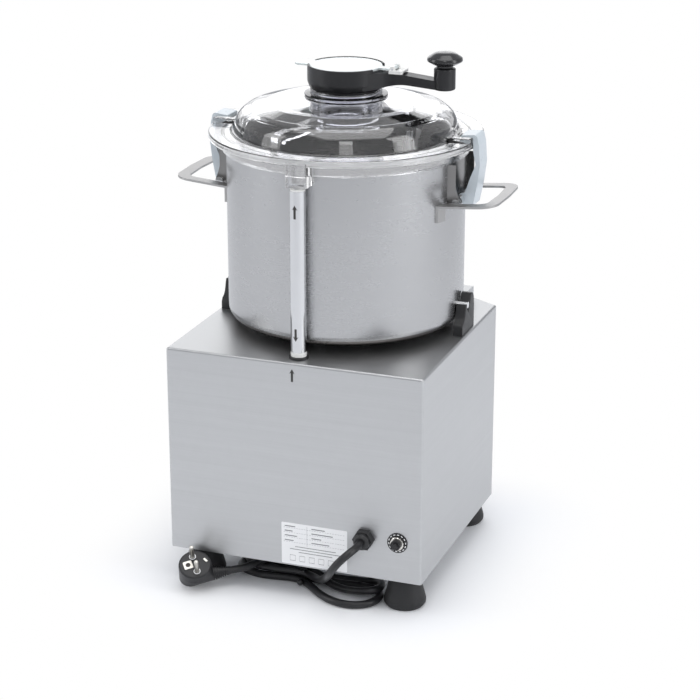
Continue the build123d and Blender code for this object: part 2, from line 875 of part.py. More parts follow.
def make_rod_lug():
    """Lug under the flange that presses the interlock rod down."""
    y_range = (skirt_inner - 2.0, bowl_radius + rod_offset + 6.8)
    lug = block((-11.5, 11.5), y_range, (lug_bottom, flange_bottom + 3.5))
    outer = lug.edges().filter_by(Axis.Z).sort_by(Axis.Y)[-2:]
    lug = fillet(outer, 3.0)
    return lug - post(skirt_outer - 1.2, 60, lug_bottom - 20)


def make_lid():
    """Clear moulded lid with a catch at each side and the interlock lug at the back."""
    lid = Rot(0, 0, 45) * make_lid_shell() + make_rod_lug()
    pad, channel = make_lid_catch()
    lid = lid + pad + mirrored(pad) - channel - mirrored(channel)
    return centre * lid


def make_lid_gasket():
    return centre * tube(bowl_radius + 0.2, bowl_radius - 3.8, 3.9, rim)


def make_collar():
    """Clear bearing neck for the crank, clipped into the top of the dome."""
    low = dome_top - neck_drop
    inner = neck_radius - neck_wall
    points = [
        (inner, low),
        (neck_radius + 1.0, low),
        (neck_radius + 1.0, low + 3.0),
        (neck_radius, low + 3.0),
        (neck_radius, dome_top),
        (neck_radius + 6.0, dome_top),
        (neck_radius + 6.0, dome_top + 3.0),
        (neck_radius, dome_top + 4.0),
        (neck_radius, dome_top + 7.5),
        (inner, dome_top + 7.5),
    ]
    return centre * turned(points, [0.5, 0.5, 0.5, 0, 0, 1.0, 0.5, 0.5, 0.8, 0.5])


# ---------------------------------------------------------------- crank
def on_crank(shape):
    """Turn a piece built along +X to where the crank rests: the arm points to the left."""
    return centre * Rot(0, 0, 180) * shape


def make_arm():
    """Cranked arm that widens into the hub ring in the shape of a drop."""
    side_view = [
        (0, crank_bottom + 1.0),
        (crank_radius - 2, crank_bottom + 3.0),
        (crank_radius + 22, crank_bottom + 8.5),
        (crank_reach, crank_bottom + 5.0),
        (crank_reach, crank_bottom + 14.0),
        (crank_radius + 25, crank_bottom + 18.5),
        (crank_radius + 2, crank_top - 1.5),
        (0, crank_top - 1.5),
    ]
    half = arm_width / 2
    root = 0.7 * crank_radius
    waist = 2 * root - half
    plan = [
        (root, -root),
        (waist, -half),
        (crank_reach, -half),
        (crank_reach, half),
        (waist, half),
        (root, root),
    ]
    outline = make_face(FilletPolyline(*plan, radius=[0, 12, 0, 0, 12, 0], close=True))
    arm = profile_y(side_view, [0, 20, 60, 0, 0, 60, 20, 0], 3 * crank_radius)
    arm &= Pos(0, 0, crank_bottom - 5) * extrude(outline, crank_height + 10)
    return arm - post(feed_radius + 3, 60, crank_bottom - 10)


def make_crank():
    """Black hub ring, arm and grip boss, with the neck that turns in the collar."""
    ring = [
        (feed_radius, crank_bottom - 4.0),
        (carrier_radius, crank_bottom - 4.0),
        (carrier_radius, crank_bottom),
        (crank_radius - 2.5, crank_bottom),
        (crank_radius, crank_bottom + 7.0),
        (crank_radius, crank_top),
        (feed_radius, crank_top),
    ]
    hub = turned(ring, [0, 0, 0, 3.0, 12.0, 1.8, 0.8])
    boss = post(grip_boss_radius, grip_boss_height, crank_bottom + 5.0)
    boss = Pos(crank_reach, 0, 0) * fillet(boss.edges().filter_by(GeomType.CIRCLE), 1.8)
    crank = hub + make_arm() + boss
    crank -= post(4.02, 40, crank_bottom + 12.0, crank_reach, 0)
    return on_crank(crank)


def hinge_height():
    return crank_top + 2.1


def make_crank_pins():
    """Pin that the grip turns on, and the hinge pin of the flap."""
    grip_pin = post(4.0, 29.0, crank_bottom + 12.0, crank_reach, 0)
    flap_pin = bar_y(hinge_pin, 18.4, hinge_reach, hinge_height())
    return on_crank(grip_pin), on_crank(flap_pin)


def make_grip():
    """Mushroom grip that turns on its pin."""
    low = crank_bottom + 5.0 + grip_boss_height + 0.3
    bore = 4.0 + running_gap
    points = [
        (bore, 0),
        (8.65, 0),
        (8.65, 2.2),
        (13.0, 3.4),
        (grip_radius, 6.8),
        (grip_radius - 0.6, 10.6),
        (10.0, 15.8),
        (0, 16.7),
        (0, 13.2),
        (bore, 13.2),
    ]
    grip = turned(points, [0, 0.5, 0.8, 4.0, 1.8, 3.0, 14.0, 0, 0, 0])
    return on_crank(Pos(crank_reach, 0, low) * grip)


def make_flap():
    """Translucent cover over the feed hole, hinged on the arm, with a finger tab."""
    low = crank_top
    high = crank_top + flap_thickness
    disc = post(flap_radius, flap_thickness, low)
    disc = fillet(disc.edges().sort_by(Axis.Z)[-1], 0.8)
    plug = tube(feed_radius - 0.4, feed_radius - 2.4, 3.5, low - 3.0)
    tab = block((-crank_radius - 15, -feed_radius), (-11, 11), (low, high))
    tab = fillet(tab.edges().filter_by(Axis.Z).sort_by(Axis.X)[:2], 8.0)
    strap = block((feed_radius, hinge_reach), (-5.5, 5.5), (low, high))
    barrel = bar_y(2.6, 11.0, hinge_reach, hinge_height())
    flap = disc + plug + tab + strap + barrel
    flap -= bar_y(hinge_pin + running_gap, 30, hinge_reach, hinge_height())
    return on_crank(flap)


def make_flap_clip():
    """White saddle clipped over the arm; its two ears hold the hinge pin."""
    z = hinge_height()
    low = crank_bottom + 11.0
    under = crank_bottom + 20.1
    clip = block((hinge_reach - 3, hinge_reach + 12), (-11, 11), (low, crank_top + 1.0))
    clip = fillet(clip.edges().filter_by(Axis.Z).sort_by(Axis.X)[-2:], 3.0)
    clip -= block((hinge_reach - 20, hinge_reach + 40), (-8.55, 8.55), (low - 20, under))
    clip -= block((hinge_reach - 5, hinge_reach + 4), (-6.1, 6.1), (under + 0.5, z + 20))
    for side in (-1, 1):
        ear = block((hinge_reach - 3, hinge_reach + 3), (-1.4, 1.4), (under + 0.5, z))
        ear += bar_y(3.0, 2.8, hinge_reach, z)
        clip += Pos(0, side * 7.6, 0) * ear
    clip -= bar_y(hinge_pin + 0.02, 40, hinge_reach, z)
    return on_crank(clip - make_arm())


def make_scraper_carrier():
    """White tube below the crank with two bent arms that reach down the bowl wall."""
    top = crank_bottom - 4.0
    carrier = post(carrier_radius, top - carrier_low, carrier_low)
    root = carrier_radius - 6.15
    low = bowl_floor + 62.0
    wall_x = bowl_radius - bowl_wall - 16.0
    side_view = [
        (root, carrier_low),
        (wall_x - 17, carrier_low - 7.0),
        (wall_x - 7, low),
        (wall_x, low),
        (wall_x - 7, carrier_low - 1.0),
        (wall_x - 14, carrier_low + 3.0),
        (root, carrier_low + 9.0),
    ]
    arm = profile_y(side_view, [0, 6, 2, 2, 5, 8, 0], 10.0)
    carrier += arm + Rot(0, 0, 180) * arm
    carrier -= post(feed_radius, 2 * (top - carrier_low), carrier_low - 20)
    return centre * Rot(0, 0, scraper_turn) * carrier


def make_scraper_blades():
    """Soft wipers fixed to the sides of the scraper arms."""
    low = bowl_floor + 66.0
    wall_x = bowl_radius - bowl_wall - 16.0
    outer = bowl_radius - bowl_wall - 1.2
    outline = [
        (wall_x - 5.5, low),
        (outer, low),
        (outer, rim - 16.0),
        (wall_x - 5.5, rim - 16.0),
    ]
    wiper = Pos(0, 6.5, 0) * profile_y(outline, [1, 6, 6, 1], 3.0)
    return [centre * Rot(0, 0, scraper_turn + turn) * wiper for turn in (0, 180)]


# ---------------------------------------------------------------- rear fittings
def make_gland():
    """Cable gland and its lock nut inside the housing."""
    body = hexagon(gland_flats, gland_length - 6.0, 0)
    body = fillet(body.edges().group_by(Axis.Z)[-1], 1.0)
    dome = turned(
        [(0, 0), (8.9, 0), (8.9, gland_length - 2.5), (6.4, gland_length), (0, gland_length)],
        [0, 0, 2.0, 0.8, 0],
    )
    neck = post(8.0, 12, -12)
    nut = hexagon(22, 4.0, -sheet - 4.0) - post(8.02, 20, -15)
    return at_rear(gland_place, body + dome + neck), at_rear(gland_place, nut)


def make_breaker():
    """Reset-button cut-out inside the housing, and its dial plate outside."""
    body = block((-7, 7), (-13, 13), (-sheet - 30, -sheet))
    body += post(5.5, 10.0, -sheet - 0.5)
    body -= post(3.2 + running_gap, 30, -14)
    plate = tube(11.0, 5.52, 1.0, 0)
    return at_rear(breaker_place, body), at_rear(breaker_place, plate)


def make_breaker_nut():
    nut = tube(7.6, 5.52, 3.2, 1.0)
    nut = chamfer(nut.edges().group_by(Axis.Z)[-1].sort_by(SortBy.RADIUS)[-1], 0.8)
    for index in range(16):
        nut -= Rot(0, 0, index * 22.5) * post(0.5, 6, 0.5, 7.7, 0)
    return at_rear(breaker_place, nut)


def make_breaker_button():
    button = post(3.2, 16, -5)
    return at_rear(breaker_place, fillet(button.edges().group_by(Axis.Z)[-1], 0.8))


# ---------------------------------------------------------------- mains lead
gland_mouth = (gland_place[0], rear_y + gland_length, gland_place[1])
lead_route = [
    gland_mouth,
    (-80.0, 173.0, 82.0),
    (-75.0, 184.0, 79.0),
    (-66.0, 190.0, 70.0),
    (-57.0, 186.0, 57.5),
    (-48.5, 173.0, 45.0),
    (-40.0, 154.0, 34.0),
    (-31.0, 139.5, 23.5),
    (-22.0, 127.5, 15.5),
]
tail_route = [
    (74.6, 141.8, 18.1),
    (62.4, 135.7, 19.07),
    (55.0, 124.5, 21.0),
    (50.0, 109.0, 18.5),
    (43.0, 96.0, 11.0),
]
hank_height = 17.0
plug_centre = Vector(107.5, 162.5, 21.3)
plug_axis = Vector(-0.189, 0.511, 0.839).normalized()
plug_radius = 18.5
plug_length = 26.0


def corner_radii(points):
    """Largest arcs that the runs allow: 0.45 of the shorter run over the half turn's tangent."""
    places = [Vector(*p) for p in points]
    radii = []
    for before, here, after in zip(places, places[1:], places[2:]):
        turn = radians((here - before).get_angle(after - here))
        shorter = min((here - before).length, (after - here).length)
        radii.append(0.45 * shorter / tan(turn / 2))
    return radii


def make_cord_tube(name, points):
    """Round cable along straight runs joined by tangent arcs."""
    radii = corner_radii(points)
    path = FilletPolyline(*points, radius=radii)
    section = Plane(origin=path @ 0, z_dir=path % 0) * Circle(cord_radius)
    cable = sweep(section, path=path)
    ratio = cable.volume / (path.length * pi * cord_radius**2)
    print(name, "radii", [round(r, 1) for r in radii], "volume ratio", round(ratio, 4))
    return cable


def make_hank():
    """Outer shape of the folded-up lead: two flat lobes tied in the middle."""
    outline = [
        (90.0, 68.0),
        (89.0, 108.0),
        (50.0, 124.0),
        (4.0, 115.0),
        (-34.0, 149.0),
        (-66.0, 159.0),
        (-93.0, 150.0),
        (-90.0, 100.0),
        (-66.0, 87.0),
        (4.0, 91.5),
        (54.0, 70.0),
    ]
    radii = [18, 16, 30, 8, 30, 20, 16, 16, 16, 25, 20]
    plan = make_face(FilletPolyline(*outline, radius=radii, close=True))
    hank = extrude(plan, hank_height)
    return fillet(hank.edges().group_by(Axis.Z)[-1], 4.0)


def make_cord_tie():
    """Twisted tie round the waist of the hank, with its end standing out in front."""
    band = block((0, 5), (90.2, 118.5), (hank_height, hank_height + 1.2))
    stub = Pos(2.5, 121.5, 6.5) * Sphere(3.6)
    return band, stub


def make_plug():
    """Angled two-pin plug lying on its back, its cable leaving sideways through a taper."""
    body = Cylinder(plug_radius, plug_length)
    body = fillet(body.edges().filter_by(GeomType.CIRCLE), 3.0)
    body = Plane(origin=plug_centre, z_dir=plug_axis) * body
    root = plug_centre - plug_axis * 7.0
    mouth = Vector(*tail_route[0])
    along = mouth - root
    taper = Plane(origin=root + along * 0.5, z_dir=along) * Cone(9.5, 5.4, along.length)
    return body + taper


def make_plug_pins():
    """Two round pins, standing across the face of the plug."""
    face = plug_centre + plug_axis * (plug_length / 2 - 1.0)
    across = Vector(-0.938, -0.347, 0)
    up = plug_axis.cross(across).normalized()
    spread = (up * -0.954 + across * 0.3).normalized()
    pins = []
    for side in (-1, 1):
        foot = face + spread * (9.5 * side)
        pin = Cylinder(2.4, 20)
        pin = fillet(pin.edges().sort_by(Axis.Z)[-1], 1.6)
        pins.append(Plane(origin=foot + plug_axis * 11.0, z_dir=plug_axis) * pin)
    return pins


# ---------------------------------------------------------------- all nodes
def main():
    save("housing", make_housing())
    save("base_plate", make_base_plate())
    for name, (x, y) in foot_places().items():
        save(f"foot_{name}", make_foot(x, y))
    save("control_hood", make_control_hood())
    start_x, stop_x, pulse_x, dial_x = control_places()
    bodies = [make_control_body(x) for x in (start_x, stop_x, pulse_x)]
    save("control_bodies", *bodies, make_dial_body(dial_x))
    save("start_button", make_button(start_x))
    save("stop_button", make_button(stop_x))
    save("pulse_button", make_button(pulse_x))
    save("speed_dial", make_speed_dial(dial_x))

    save("drive_boss", make_drive_boss())
    save("motor_frame", make_motor_frame())
    save("motor_case", *make_motor_case())
    save("stator", *make_stator())
    save("bearings", *make_bearings())
    save("rotor", make_rotor())
    save("fan", make_fan())
    save("shaft", make_shaft())
    save("circuit_board", make_circuit_board())

    save("interlock_switch", make_interlock_switch())
    save("switch_plunger", make_switch_plunger())
    save("rod_seat", make_rod_seat())
    save("interlock_tube", *make_interlock_tube())
    save("tube_bushes", *make_tube_bushes())
    save("push_rod", make_push_rod())
    save("springs", *make_springs())

    guide = make_guide()
    save("bowl_guides", guide, mirrored(guide))
    save("bowl", make_bowl())
    for name, piece in {
        "bowl_pins": make_bowl_pin(),
        "handles": make_handle(),
        "latch_brackets": make_latch_bracket(),
        "latch_pins": make_latch_pin(),
    }.items():
        save(name, piece, mirrored(piece))
    latch = make_latch()
    save("latch_right", latch)
    save("latch_left", mirrored(latch))

    save("blade_hub", make_blade_hub())
    save("blades", make_blade(0.0, 0.0), make_blade(blade_step, 90.0))
    save("blade_clamp", *make_blade_clamp())

    save("lid", make_lid())
    save("lid_gasket", make_lid_gasket())
    save("collar", make_collar())
    save("crank", make_crank())
    save("crank_pins", *make_crank_pins())
    save("grip", make_grip())
    save("flap", make_flap())
    save("flap_clip", make_flap_clip())
    save("scraper_carrier", make_scraper_carrier())
    save("scraper_blades", *make_scraper_blades())

    save("gland", *make_gland())
    save("breaker", *make_breaker())
    save("breaker_nut", make_breaker_nut())
    save("breaker_button", make_breaker_button())
    save("cord_lead", make_cord_tube("cord_lead", lead_route))
    save("cord_tail", make_cord_tube("cord_tail", tail_route))
    save("cord_hank", make_hank())
    save("cord_tie", *make_cord_tie())
    save("plug_body", make_plug())
    save("plug_pins", *make_plug_pins())


main()
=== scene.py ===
"""Nine-litre tabletop bowl cutter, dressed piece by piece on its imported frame.

Metres, +Z up, the operator stands on the -Y side and the mains lead leaves the +Y side.
"""
import math

import bmesh
import bpy
from mathutils import Matrix, Vector


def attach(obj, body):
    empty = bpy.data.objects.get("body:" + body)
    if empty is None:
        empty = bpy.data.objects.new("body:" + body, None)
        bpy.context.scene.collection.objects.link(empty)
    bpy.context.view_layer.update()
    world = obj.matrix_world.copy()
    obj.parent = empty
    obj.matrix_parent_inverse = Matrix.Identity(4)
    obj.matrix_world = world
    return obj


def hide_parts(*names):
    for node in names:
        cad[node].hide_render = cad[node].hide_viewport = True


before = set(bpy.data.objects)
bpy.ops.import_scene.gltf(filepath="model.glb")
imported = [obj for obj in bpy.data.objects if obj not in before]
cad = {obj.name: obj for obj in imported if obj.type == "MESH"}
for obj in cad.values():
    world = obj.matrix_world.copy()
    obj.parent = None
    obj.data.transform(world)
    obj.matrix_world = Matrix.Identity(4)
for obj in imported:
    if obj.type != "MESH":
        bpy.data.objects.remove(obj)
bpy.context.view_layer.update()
scene = bpy.context.scene
scene.view_settings.view_transform = "Standard"

# ------------------------------------------------------------------ camera
# The machine is looked at from behind and above, standing back with a long lens, so that
# the verticals stay almost parallel.
image_width = 700.0
optical_axis = (347.71, 355.43)
turned_from_behind = 20.28
looking_down = 19.65
camera_data = bpy.data.cameras.new("camera")
camera_data.sensor_width = 36.0
camera_data.lens = 108.41
camera_data.shift_x = (image_width / 2 - optical_axis[0]) / image_width
camera_data.shift_y = (optical_axis[1] - image_width / 2) / image_width
camera_data.clip_end = 50.0
camera = bpy.data.objects.new("camera", camera_data)
scene.collection.objects.link(camera)
camera_pitch = math.radians(90.0 - looking_down)
camera_yaw = math.radians(180.0 + turned_from_behind)
camera.rotation_euler = (camera_pitch, 0.0, camera_yaw)
camera.location = (-0.7596, 2.0365, 1.0019)
scene.camera = camera

# ------------------------------------------------------------------ table and light
# A white paper table that runs out of sight, under five soft boxes and a pale room. Away
# from the machine it is seen as plain white; near the feet it keeps its soft shadow.
paper_colour = (0.94, 0.95, 0.97, 1)
room_colour = (0.93, 0.95, 1.0, 1)
plain_white = (1, 1, 1, 1)
shadow_half_width = 0.13
shadow_fade = 0.15


def put(tree, target, value):
    """Link a value that comes from another node to a socket, or set the socket to it."""
    if isinstance(value, bpy.types.NodeSocket):
        tree.links.new(value, target)
    else:
        target.default_value = value


def place(tree, kind, x, y, **values):
    """New shader node at a place in the tree, with its sockets filled by name."""
    node = tree.nodes.new(kind)
    node.location = (x, y)
    for name, value in values.items():
        put(tree, node.inputs[name.replace("_", " ")], value)
    return node


def compute(tree, kind, operation, x, y, *values):
    """New math node, with its sockets filled in order."""
    node = place(tree, kind, x, y)
    node.operation = operation
    for target, value in zip(node.inputs, values):
        put(tree, target, value)
    return node


def nodes_of(material):
    """Node tree of a material, emptied but for its output."""
    material.use_nodes = True
    tree = material.node_tree
    tree.nodes.clear()
    return tree, place(tree, "ShaderNodeOutputMaterial", 900, 0)


def seen_directly(tree):
    """One for rays from the camera and rays that have passed through the clear lid."""
    ray = place(tree, "ShaderNodeLightPath", -300, 300).outputs
    direct, through = ray["Is Camera Ray"], ray["Is Transmission Ray"]
    return compute(tree, "ShaderNodeMath", "MAXIMUM", -50, 300, direct, through).outputs[0]


def mix_shaders(tree, share, first, second, output):
    """Send the second shader to the output by its share, and the first by the rest."""
    mix = place(tree, "ShaderNodeMixShader", 600, 0)
    for target, source in zip(mix.inputs, (share, first.outputs[0], second.outputs[0])):
        tree.links.new(source, target)
    tree.links.new(mix.outputs[0], output.inputs[0])


sweep_material = bpy.data.materials.new("white_sweep")
tree, output = nodes_of(sweep_material)
paper = place(tree, "ShaderNodeBsdfDiffuse", 300, 100, Color=paper_colour)
glow = place(tree, "ShaderNodeEmission", 300, -100, Color=plain_white, Strength=1.0)
spot = place(tree, "ShaderNodeTexCoord", -1100, -300).outputs["Object"]
sides = compute(tree, "ShaderNodeVectorMath", "ABSOLUTE", -900, -300, spot)
beyond = compute(
    tree, "ShaderNodeVectorMath", "SUBTRACT", -700, -300,
    sides.outputs[0], (shadow_half_width, shadow_half_width, 0.0),
)
outside = compute(
    tree, "ShaderNodeVectorMath", "MAXIMUM", -500, -300, beyond.outputs[0], (0.0, 0.0, 0.0),
)
away = compute(tree, "ShaderNodeVectorMath", "LENGTH", -300, -300, outside.outputs[0])
fade = place(
    tree, "ShaderNodeMapRange", -100, -300, Value=away.outputs["Value"], From_Max=shadow_fade,
)
fade.interpolation_type = "SMOOTHSTEP"
share = compute(
    tree, "ShaderNodeMath", "MULTIPLY", 150, 300, seen_directly(tree), fade.outputs[0],
)
mix_shaders(tree, share.outputs[0], paper, glow, output)

sweep_mesh = bpy.data.meshes.new("sweep")
bm = bmesh.new()
bmesh.ops.create_grid(bm, x_segments=8, y_segments=8, size=6.0)
bm.to_mesh(sweep_mesh)
bm.free()
sweep = bpy.data.objects.new("sweep", sweep_mesh)
scene.collection.objects.link(sweep)
sweep_mesh.materials.append(sweep_material)

world = bpy.data.worlds.new("studio")
scene.world = world
world.use_nodes = True
tree = world.node_tree
tree.nodes.clear()
output = place(tree, "ShaderNodeOutputWorld", 900, 0)
room = place(tree, "ShaderNodeBackground", 300, 100, Color=room_colour, Strength=0.55)
white = place(tree, "ShaderNodeBackground", 300, -100, Color=plain_white, Strength=1.0)
mix_shaders(tree, seen_directly(tree), room, white, output)


def soft_box(name, position, target, width, height, power):
    """Rectangular studio lamp pointed at a place."""
    light = bpy.data.lights.new(name, "AREA")
    light.shape = "RECTANGLE"
    light.size = width
    light.size_y = height
    light.energy = power
    lamp = bpy.data.objects.new(name, light)
    scene.collection.objects.link(lamp)
    lamp.location = position
    away = Vector(position) - Vector(target)
    lamp.rotation_euler = away.to_track_quat("Z", "Y").to_euler()


aim_point = (0, 0, 0.3)
soft_box("top_box", (-0.2, 0.3, 2.6), aim_point, 2.2, 2.2, 28)
soft_box("left_box", (2.3, 1.2, 1.2), aim_point, 1.0, 2.0, 14)
soft_box("right_box", (-2.4, 0.3, 1.3), aim_point, 1.0, 2.2, 20)
soft_box("near_box", (-0.85, 2.3, 1.9), (0, 0, 0.35), 0.6, 1.2, 7)
soft_box("back_box", (1.2, -2.6, 1.25), aim_point, 2.6, 1.7, 17)

# ------------------------------------------------------------------ mains lead
# Three-core rubber lead of 8.3 mm, about one metre long. It drops from the gland, is
# folded into two flat lobes under a twisted tie, and ends in a moulded angled plug. The
# points of its route are in millimetres.
cord_diameter = 0.0083
lead_points = [
    (-80.0, 160.5, 82.0), (-80.0, 173.0, 82.0), (-75.0, 184.0, 79.0), (-66.0, 190.0, 70.0),
    (-57.0, 186.0, 57.5), (-48.5, 173.0, 45.0), (-40.0, 154.0, 34.0), (-31.0, 139.5, 23.5),
    (-22.0, 127.5, 15.5), (-10.0, 116.5, 13.0), (3.0, 108.6, 12.4),
]
first_left_lobe = [
    (18.0, 108.5, 12.6), (34.0, 110.5, 12.6), (50.0, 110.0, 12.6), (64.0, 105.5, 12.6),
    (73.5, 97.0, 12.6), (75.0, 87.0, 12.6), (68.0, 79.5, 12.6), (55.0, 77.5, 12.6),
    (40.0, 83.0, 11.0), (24.0, 94.5, 6.5), (12.0, 101.5, 4.6), (3.0, 104.0, 4.3),
]
first_right_lobe = [
    (-20.0, 104.0, 4.3), (-42.0, 104.5, 4.3), (-60.0, 102.5, 4.3), (-77.0, 105.0, 4.3),
    (-87.0, 114.0, 4.3), (-88.5, 129.0, 4.3), (-81.0, 144.0, 4.3), (-64.0, 151.5, 4.3),
    (-44.0, 148.5, 4.3), (-25.0, 137.0, 4.3), (-10.0, 122.5, 4.3), (3.0, 112.3, 4.3),
]
second_left_lobe = [
    (16.0, 110.0, 4.3), (28.0, 111.0, 4.3), (42.0, 113.5, 4.3), (58.0, 113.0, 4.3),
    (73.0, 107.5, 4.3), (82.0, 98.0, 4.3), (83.0, 86.0, 4.3), (75.0, 77.0, 4.3),
    (60.0, 73.5, 4.3), (42.0, 76.5, 4.3), (22.0, 86.0, 4.3), (3.0, 95.7, 4.3),
]
second_right_lobe = [
    (-20.0, 94.5, 4.3), (-42.0, 92.5, 4.3), (-60.0, 91.5, 4.6), (-75.0, 95.0, 8.5),
    (-85.0, 104.0, 12.7), (-88.0, 117.0, 12.8), (-81.0, 127.5, 12.8), (-66.0, 128.0, 10.0),
    (-48.0, 121.0, 6.0), (-30.0, 113.5, 5.2), (-16.0, 107.0, 12.4), (3.0, 100.0, 12.4),
]
tail_points = [
    (19.0, 96.5, 14.5), (32.0, 94.5, 13.0), (43.0, 96.0, 14.0), (50.0, 109.0, 20.5),
    (55.0, 124.5, 21.5), (62.4, 135.7, 19.6), (74.6, 141.8, 18.1),
]
cord_route = lead_points + first_left_lobe + first_right_lobe + second_left_lobe
cord_route = cord_route + second_right_lobe + tail_points
cord_curve = bpy.data.curves.new("mains_lead", "CURVE")
cord_curve.dimensions = "3D"
spline = cord_curve.splines.new("NURBS")
spline.points.add(len(cord_route) - 1)
for point, (x, y, z) in zip(spline.points, cord_route):
    point.co = (x / 1000, y / 1000, z / 1000, 1)
spline.order_u = 3
spline.use_endpoint_u = True
spline.resolution_u = 5
cord_curve.bevel_depth = cord_diameter / 2
cord_curve.bevel_resolution = 5
mains_lead = bpy.data.objects.new("mains_lead", cord_curve)
scene.collection.objects.link(mains_lead)


def colour_between(tree, share, low, high, x, y):
    """Colour that goes from low to high with its share."""
    node = place(tree, "ShaderNodeMix", x, y)
    node.data_type = "RGBA"
    for index, value in ((0, share), (6, low), (7, high)):
        put(tree, node.inputs[index], value)
    return node.outputs[2]


def surface(tree, output, colour, roughness, height, strength, depth, y, **values):
    """Principled surface with a bump, sent to the output."""
    relief = place(
        tree, "ShaderNodeBump", 350, y, Height=height, Strength=strength, Distance=depth,
    )
    shader = place(
        tree, "ShaderNodeBsdfPrincipled", 600, 0,
        Base_Color=colour, Roughness=roughness, Normal=relief.outputs[0], **values,
    )
    tree.links.new(shader.outputs[0], output.inputs[0])
    return shader


sheath = bpy.data.materials.new("lead_sheath")
tree, output = nodes_of(sheath)
here = place(tree, "ShaderNodeTexCoord", -500, 0).outputs["Object"]
bloom = place(
    tree, "ShaderNodeTexNoise", -250, 100, Vector=here, Scale=70.0, Detail=5.0, Roughness=0.6,
).outputs[0]
skin = place(tree, "ShaderNodeTexNoise", -250, -250, Vector=here, Scale=2200.0, Detail=2.0)
tone = colour_between(
    tree, bloom, (0.006, 0.006, 0.007, 1), (0.020, 0.020, 0.022, 1), 100, 200,
)
gloss = place(tree, "ShaderNodeMapRange", 100, -50, Value=bloom, To_Min=0.28, To_Max=0.48)
surface(tree, output, tone, gloss.outputs[0], skin.outputs[0], 0.5, 0.00004, -250)
cord_curve.materials.append(sheath)


def dress(material, *names):
    """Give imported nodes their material."""
    for name in names:
        for slot in cad[name].material_slots:
            slot.material = material


dress(sheath, "cord_tie")
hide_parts("cord_lead", "cord_hank", "cord_tail")
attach(mains_lead, "base")

# ------------------------------------------------------------------ housing
# Box folded from 1.5 mm stainless sheet, satin ground along the horizontal, with a bottom
# plate inside its folded lip. The control hood at the operator's side is the same sheet.


def new_group(name, inputs, outputs):
    """Empty shader group with its sockets; gives its tree, its inputs and its result."""
    group = bpy.data.node_groups.new(name, "ShaderNodeTree")
    for label, kind in inputs:
        group.interface.new_socket(label, in_out="INPUT", socket_type=kind)
    for label in outputs:
        group.interface.new_socket(label, in_out="OUTPUT", socket_type="NodeSocketFloat")
    given = place(group, "NodeGroupInput", -900, 0)
    result = place(group, "NodeGroupOutput", 700, 0)
    return group, given.outputs, result.inputs


def place_group(tree, group, x, y, **values):
    """Shader group at a place in the tree, with its sockets filled; gives its outputs."""
    node = tree.nodes.new("ShaderNodeGroup")
    node.node_tree = group
    node.location = (x, y)
    for name, value in values.items():
        put(tree, node.inputs[name], value)
    return node.outputs


def noise(tree, vector, x, y, scale, detail, roughness):
    """Noise over a surface, from nought to one."""
    return place(
        tree, "ShaderNodeTexNoise", x, y,
        Vector=vector, Scale=scale, Detail=detail, Roughness=roughness,
    ).outputs[0]


def about_zero(tree, first, second, share, y):
    """Two noises added, brought to lie about zero, and scaled by a share."""
    total = compute(tree, "ShaderNodeMath", "ADD", -350, y, first, second)
    centred = compute(tree, "ShaderNodeMath", "SUBTRACT", -150, y, total.outputs[0], 1.0)
    return compute(tree, "ShaderNodeMath", "MULTIPLY", 50, y, centred.outputs[0], share).outputs[0]


ground_lines, given, result = new_group(
    "ground_lines",
    (("Along", "NodeSocketVector"), ("Place", "NodeSocketVector"),
     ("Lines", "NodeSocketFloat"), ("Smudge", "NodeSocketFloat")),
    ("Tone", "Height"),
)
fine = noise(ground_lines, given["Along"], -600, 200, 1.0, 5.0, 0.65)
broad = noise(ground_lines, given["Along"], -600, -50, 0.22, 3.0, 0.6)
cloud = noise(ground_lines, given["Place"], -600, -300, 14.0, 5.0, 0.6)
blot = noise(ground_lines, given["Place"], -600, -550, 95.0, 4.0, 0.7)
lines = about_zero(ground_lines, fine, broad, given["Lines"], 120)
touch = about_zero(ground_lines, cloud, blot, given["Smudge"], -400)
both = compute(ground_lines, "ShaderNodeMath", "ADD", 300, -150, lines, touch)
ground_lines.links.new(both.outputs[0], result["Tone"])
ground_lines.links.new(lines, result["Height"])


def scaled(tree, value, factor, base, x, y):
    """base + factor x value, clamped between 0.02 and 1."""
    line = compute(tree, "ShaderNodeMath", "MULTIPLY_ADD", x, y, value, factor, base)
    clamp = place(tree, "ShaderNodeClamp", x + 180, y, Value=line.outputs[0], Min=0.02, Max=1.0)
    return clamp.outputs[0]


def shade_of(colour, factor):
    """Colour made lighter or darker, with its alpha."""
    return tuple(min(1.0, factor * part) for part in colour) + (1,)


def round_axis(tree, spot, axis):
    """Object coordinates unrolled round an upright axis: arc, nothing, height."""
    arc_per_radian = 0.12
    middle = place(
        tree, "ShaderNodeMapping", -1100, 250, Vector=spot, Location=(-axis[0], -axis[1], 0),
    )
    parts = place(tree, "ShaderNodeSeparateXYZ", -920, 250, Vector=middle.outputs[0]).outputs
    angle = compute(tree, "ShaderNodeMath", "ARCTAN2", -740, 300, parts["Y"], parts["X"])
    arc = compute(
        tree, "ShaderNodeMath", "MULTIPLY", -560, 300, angle.outputs[0], arc_per_radian,
    )
    unrolled = place(tree, "ShaderNodeCombineXYZ", -380, 250, X=arc.outputs[0], Z=parts["Z"])
    return unrolled.outputs[0]


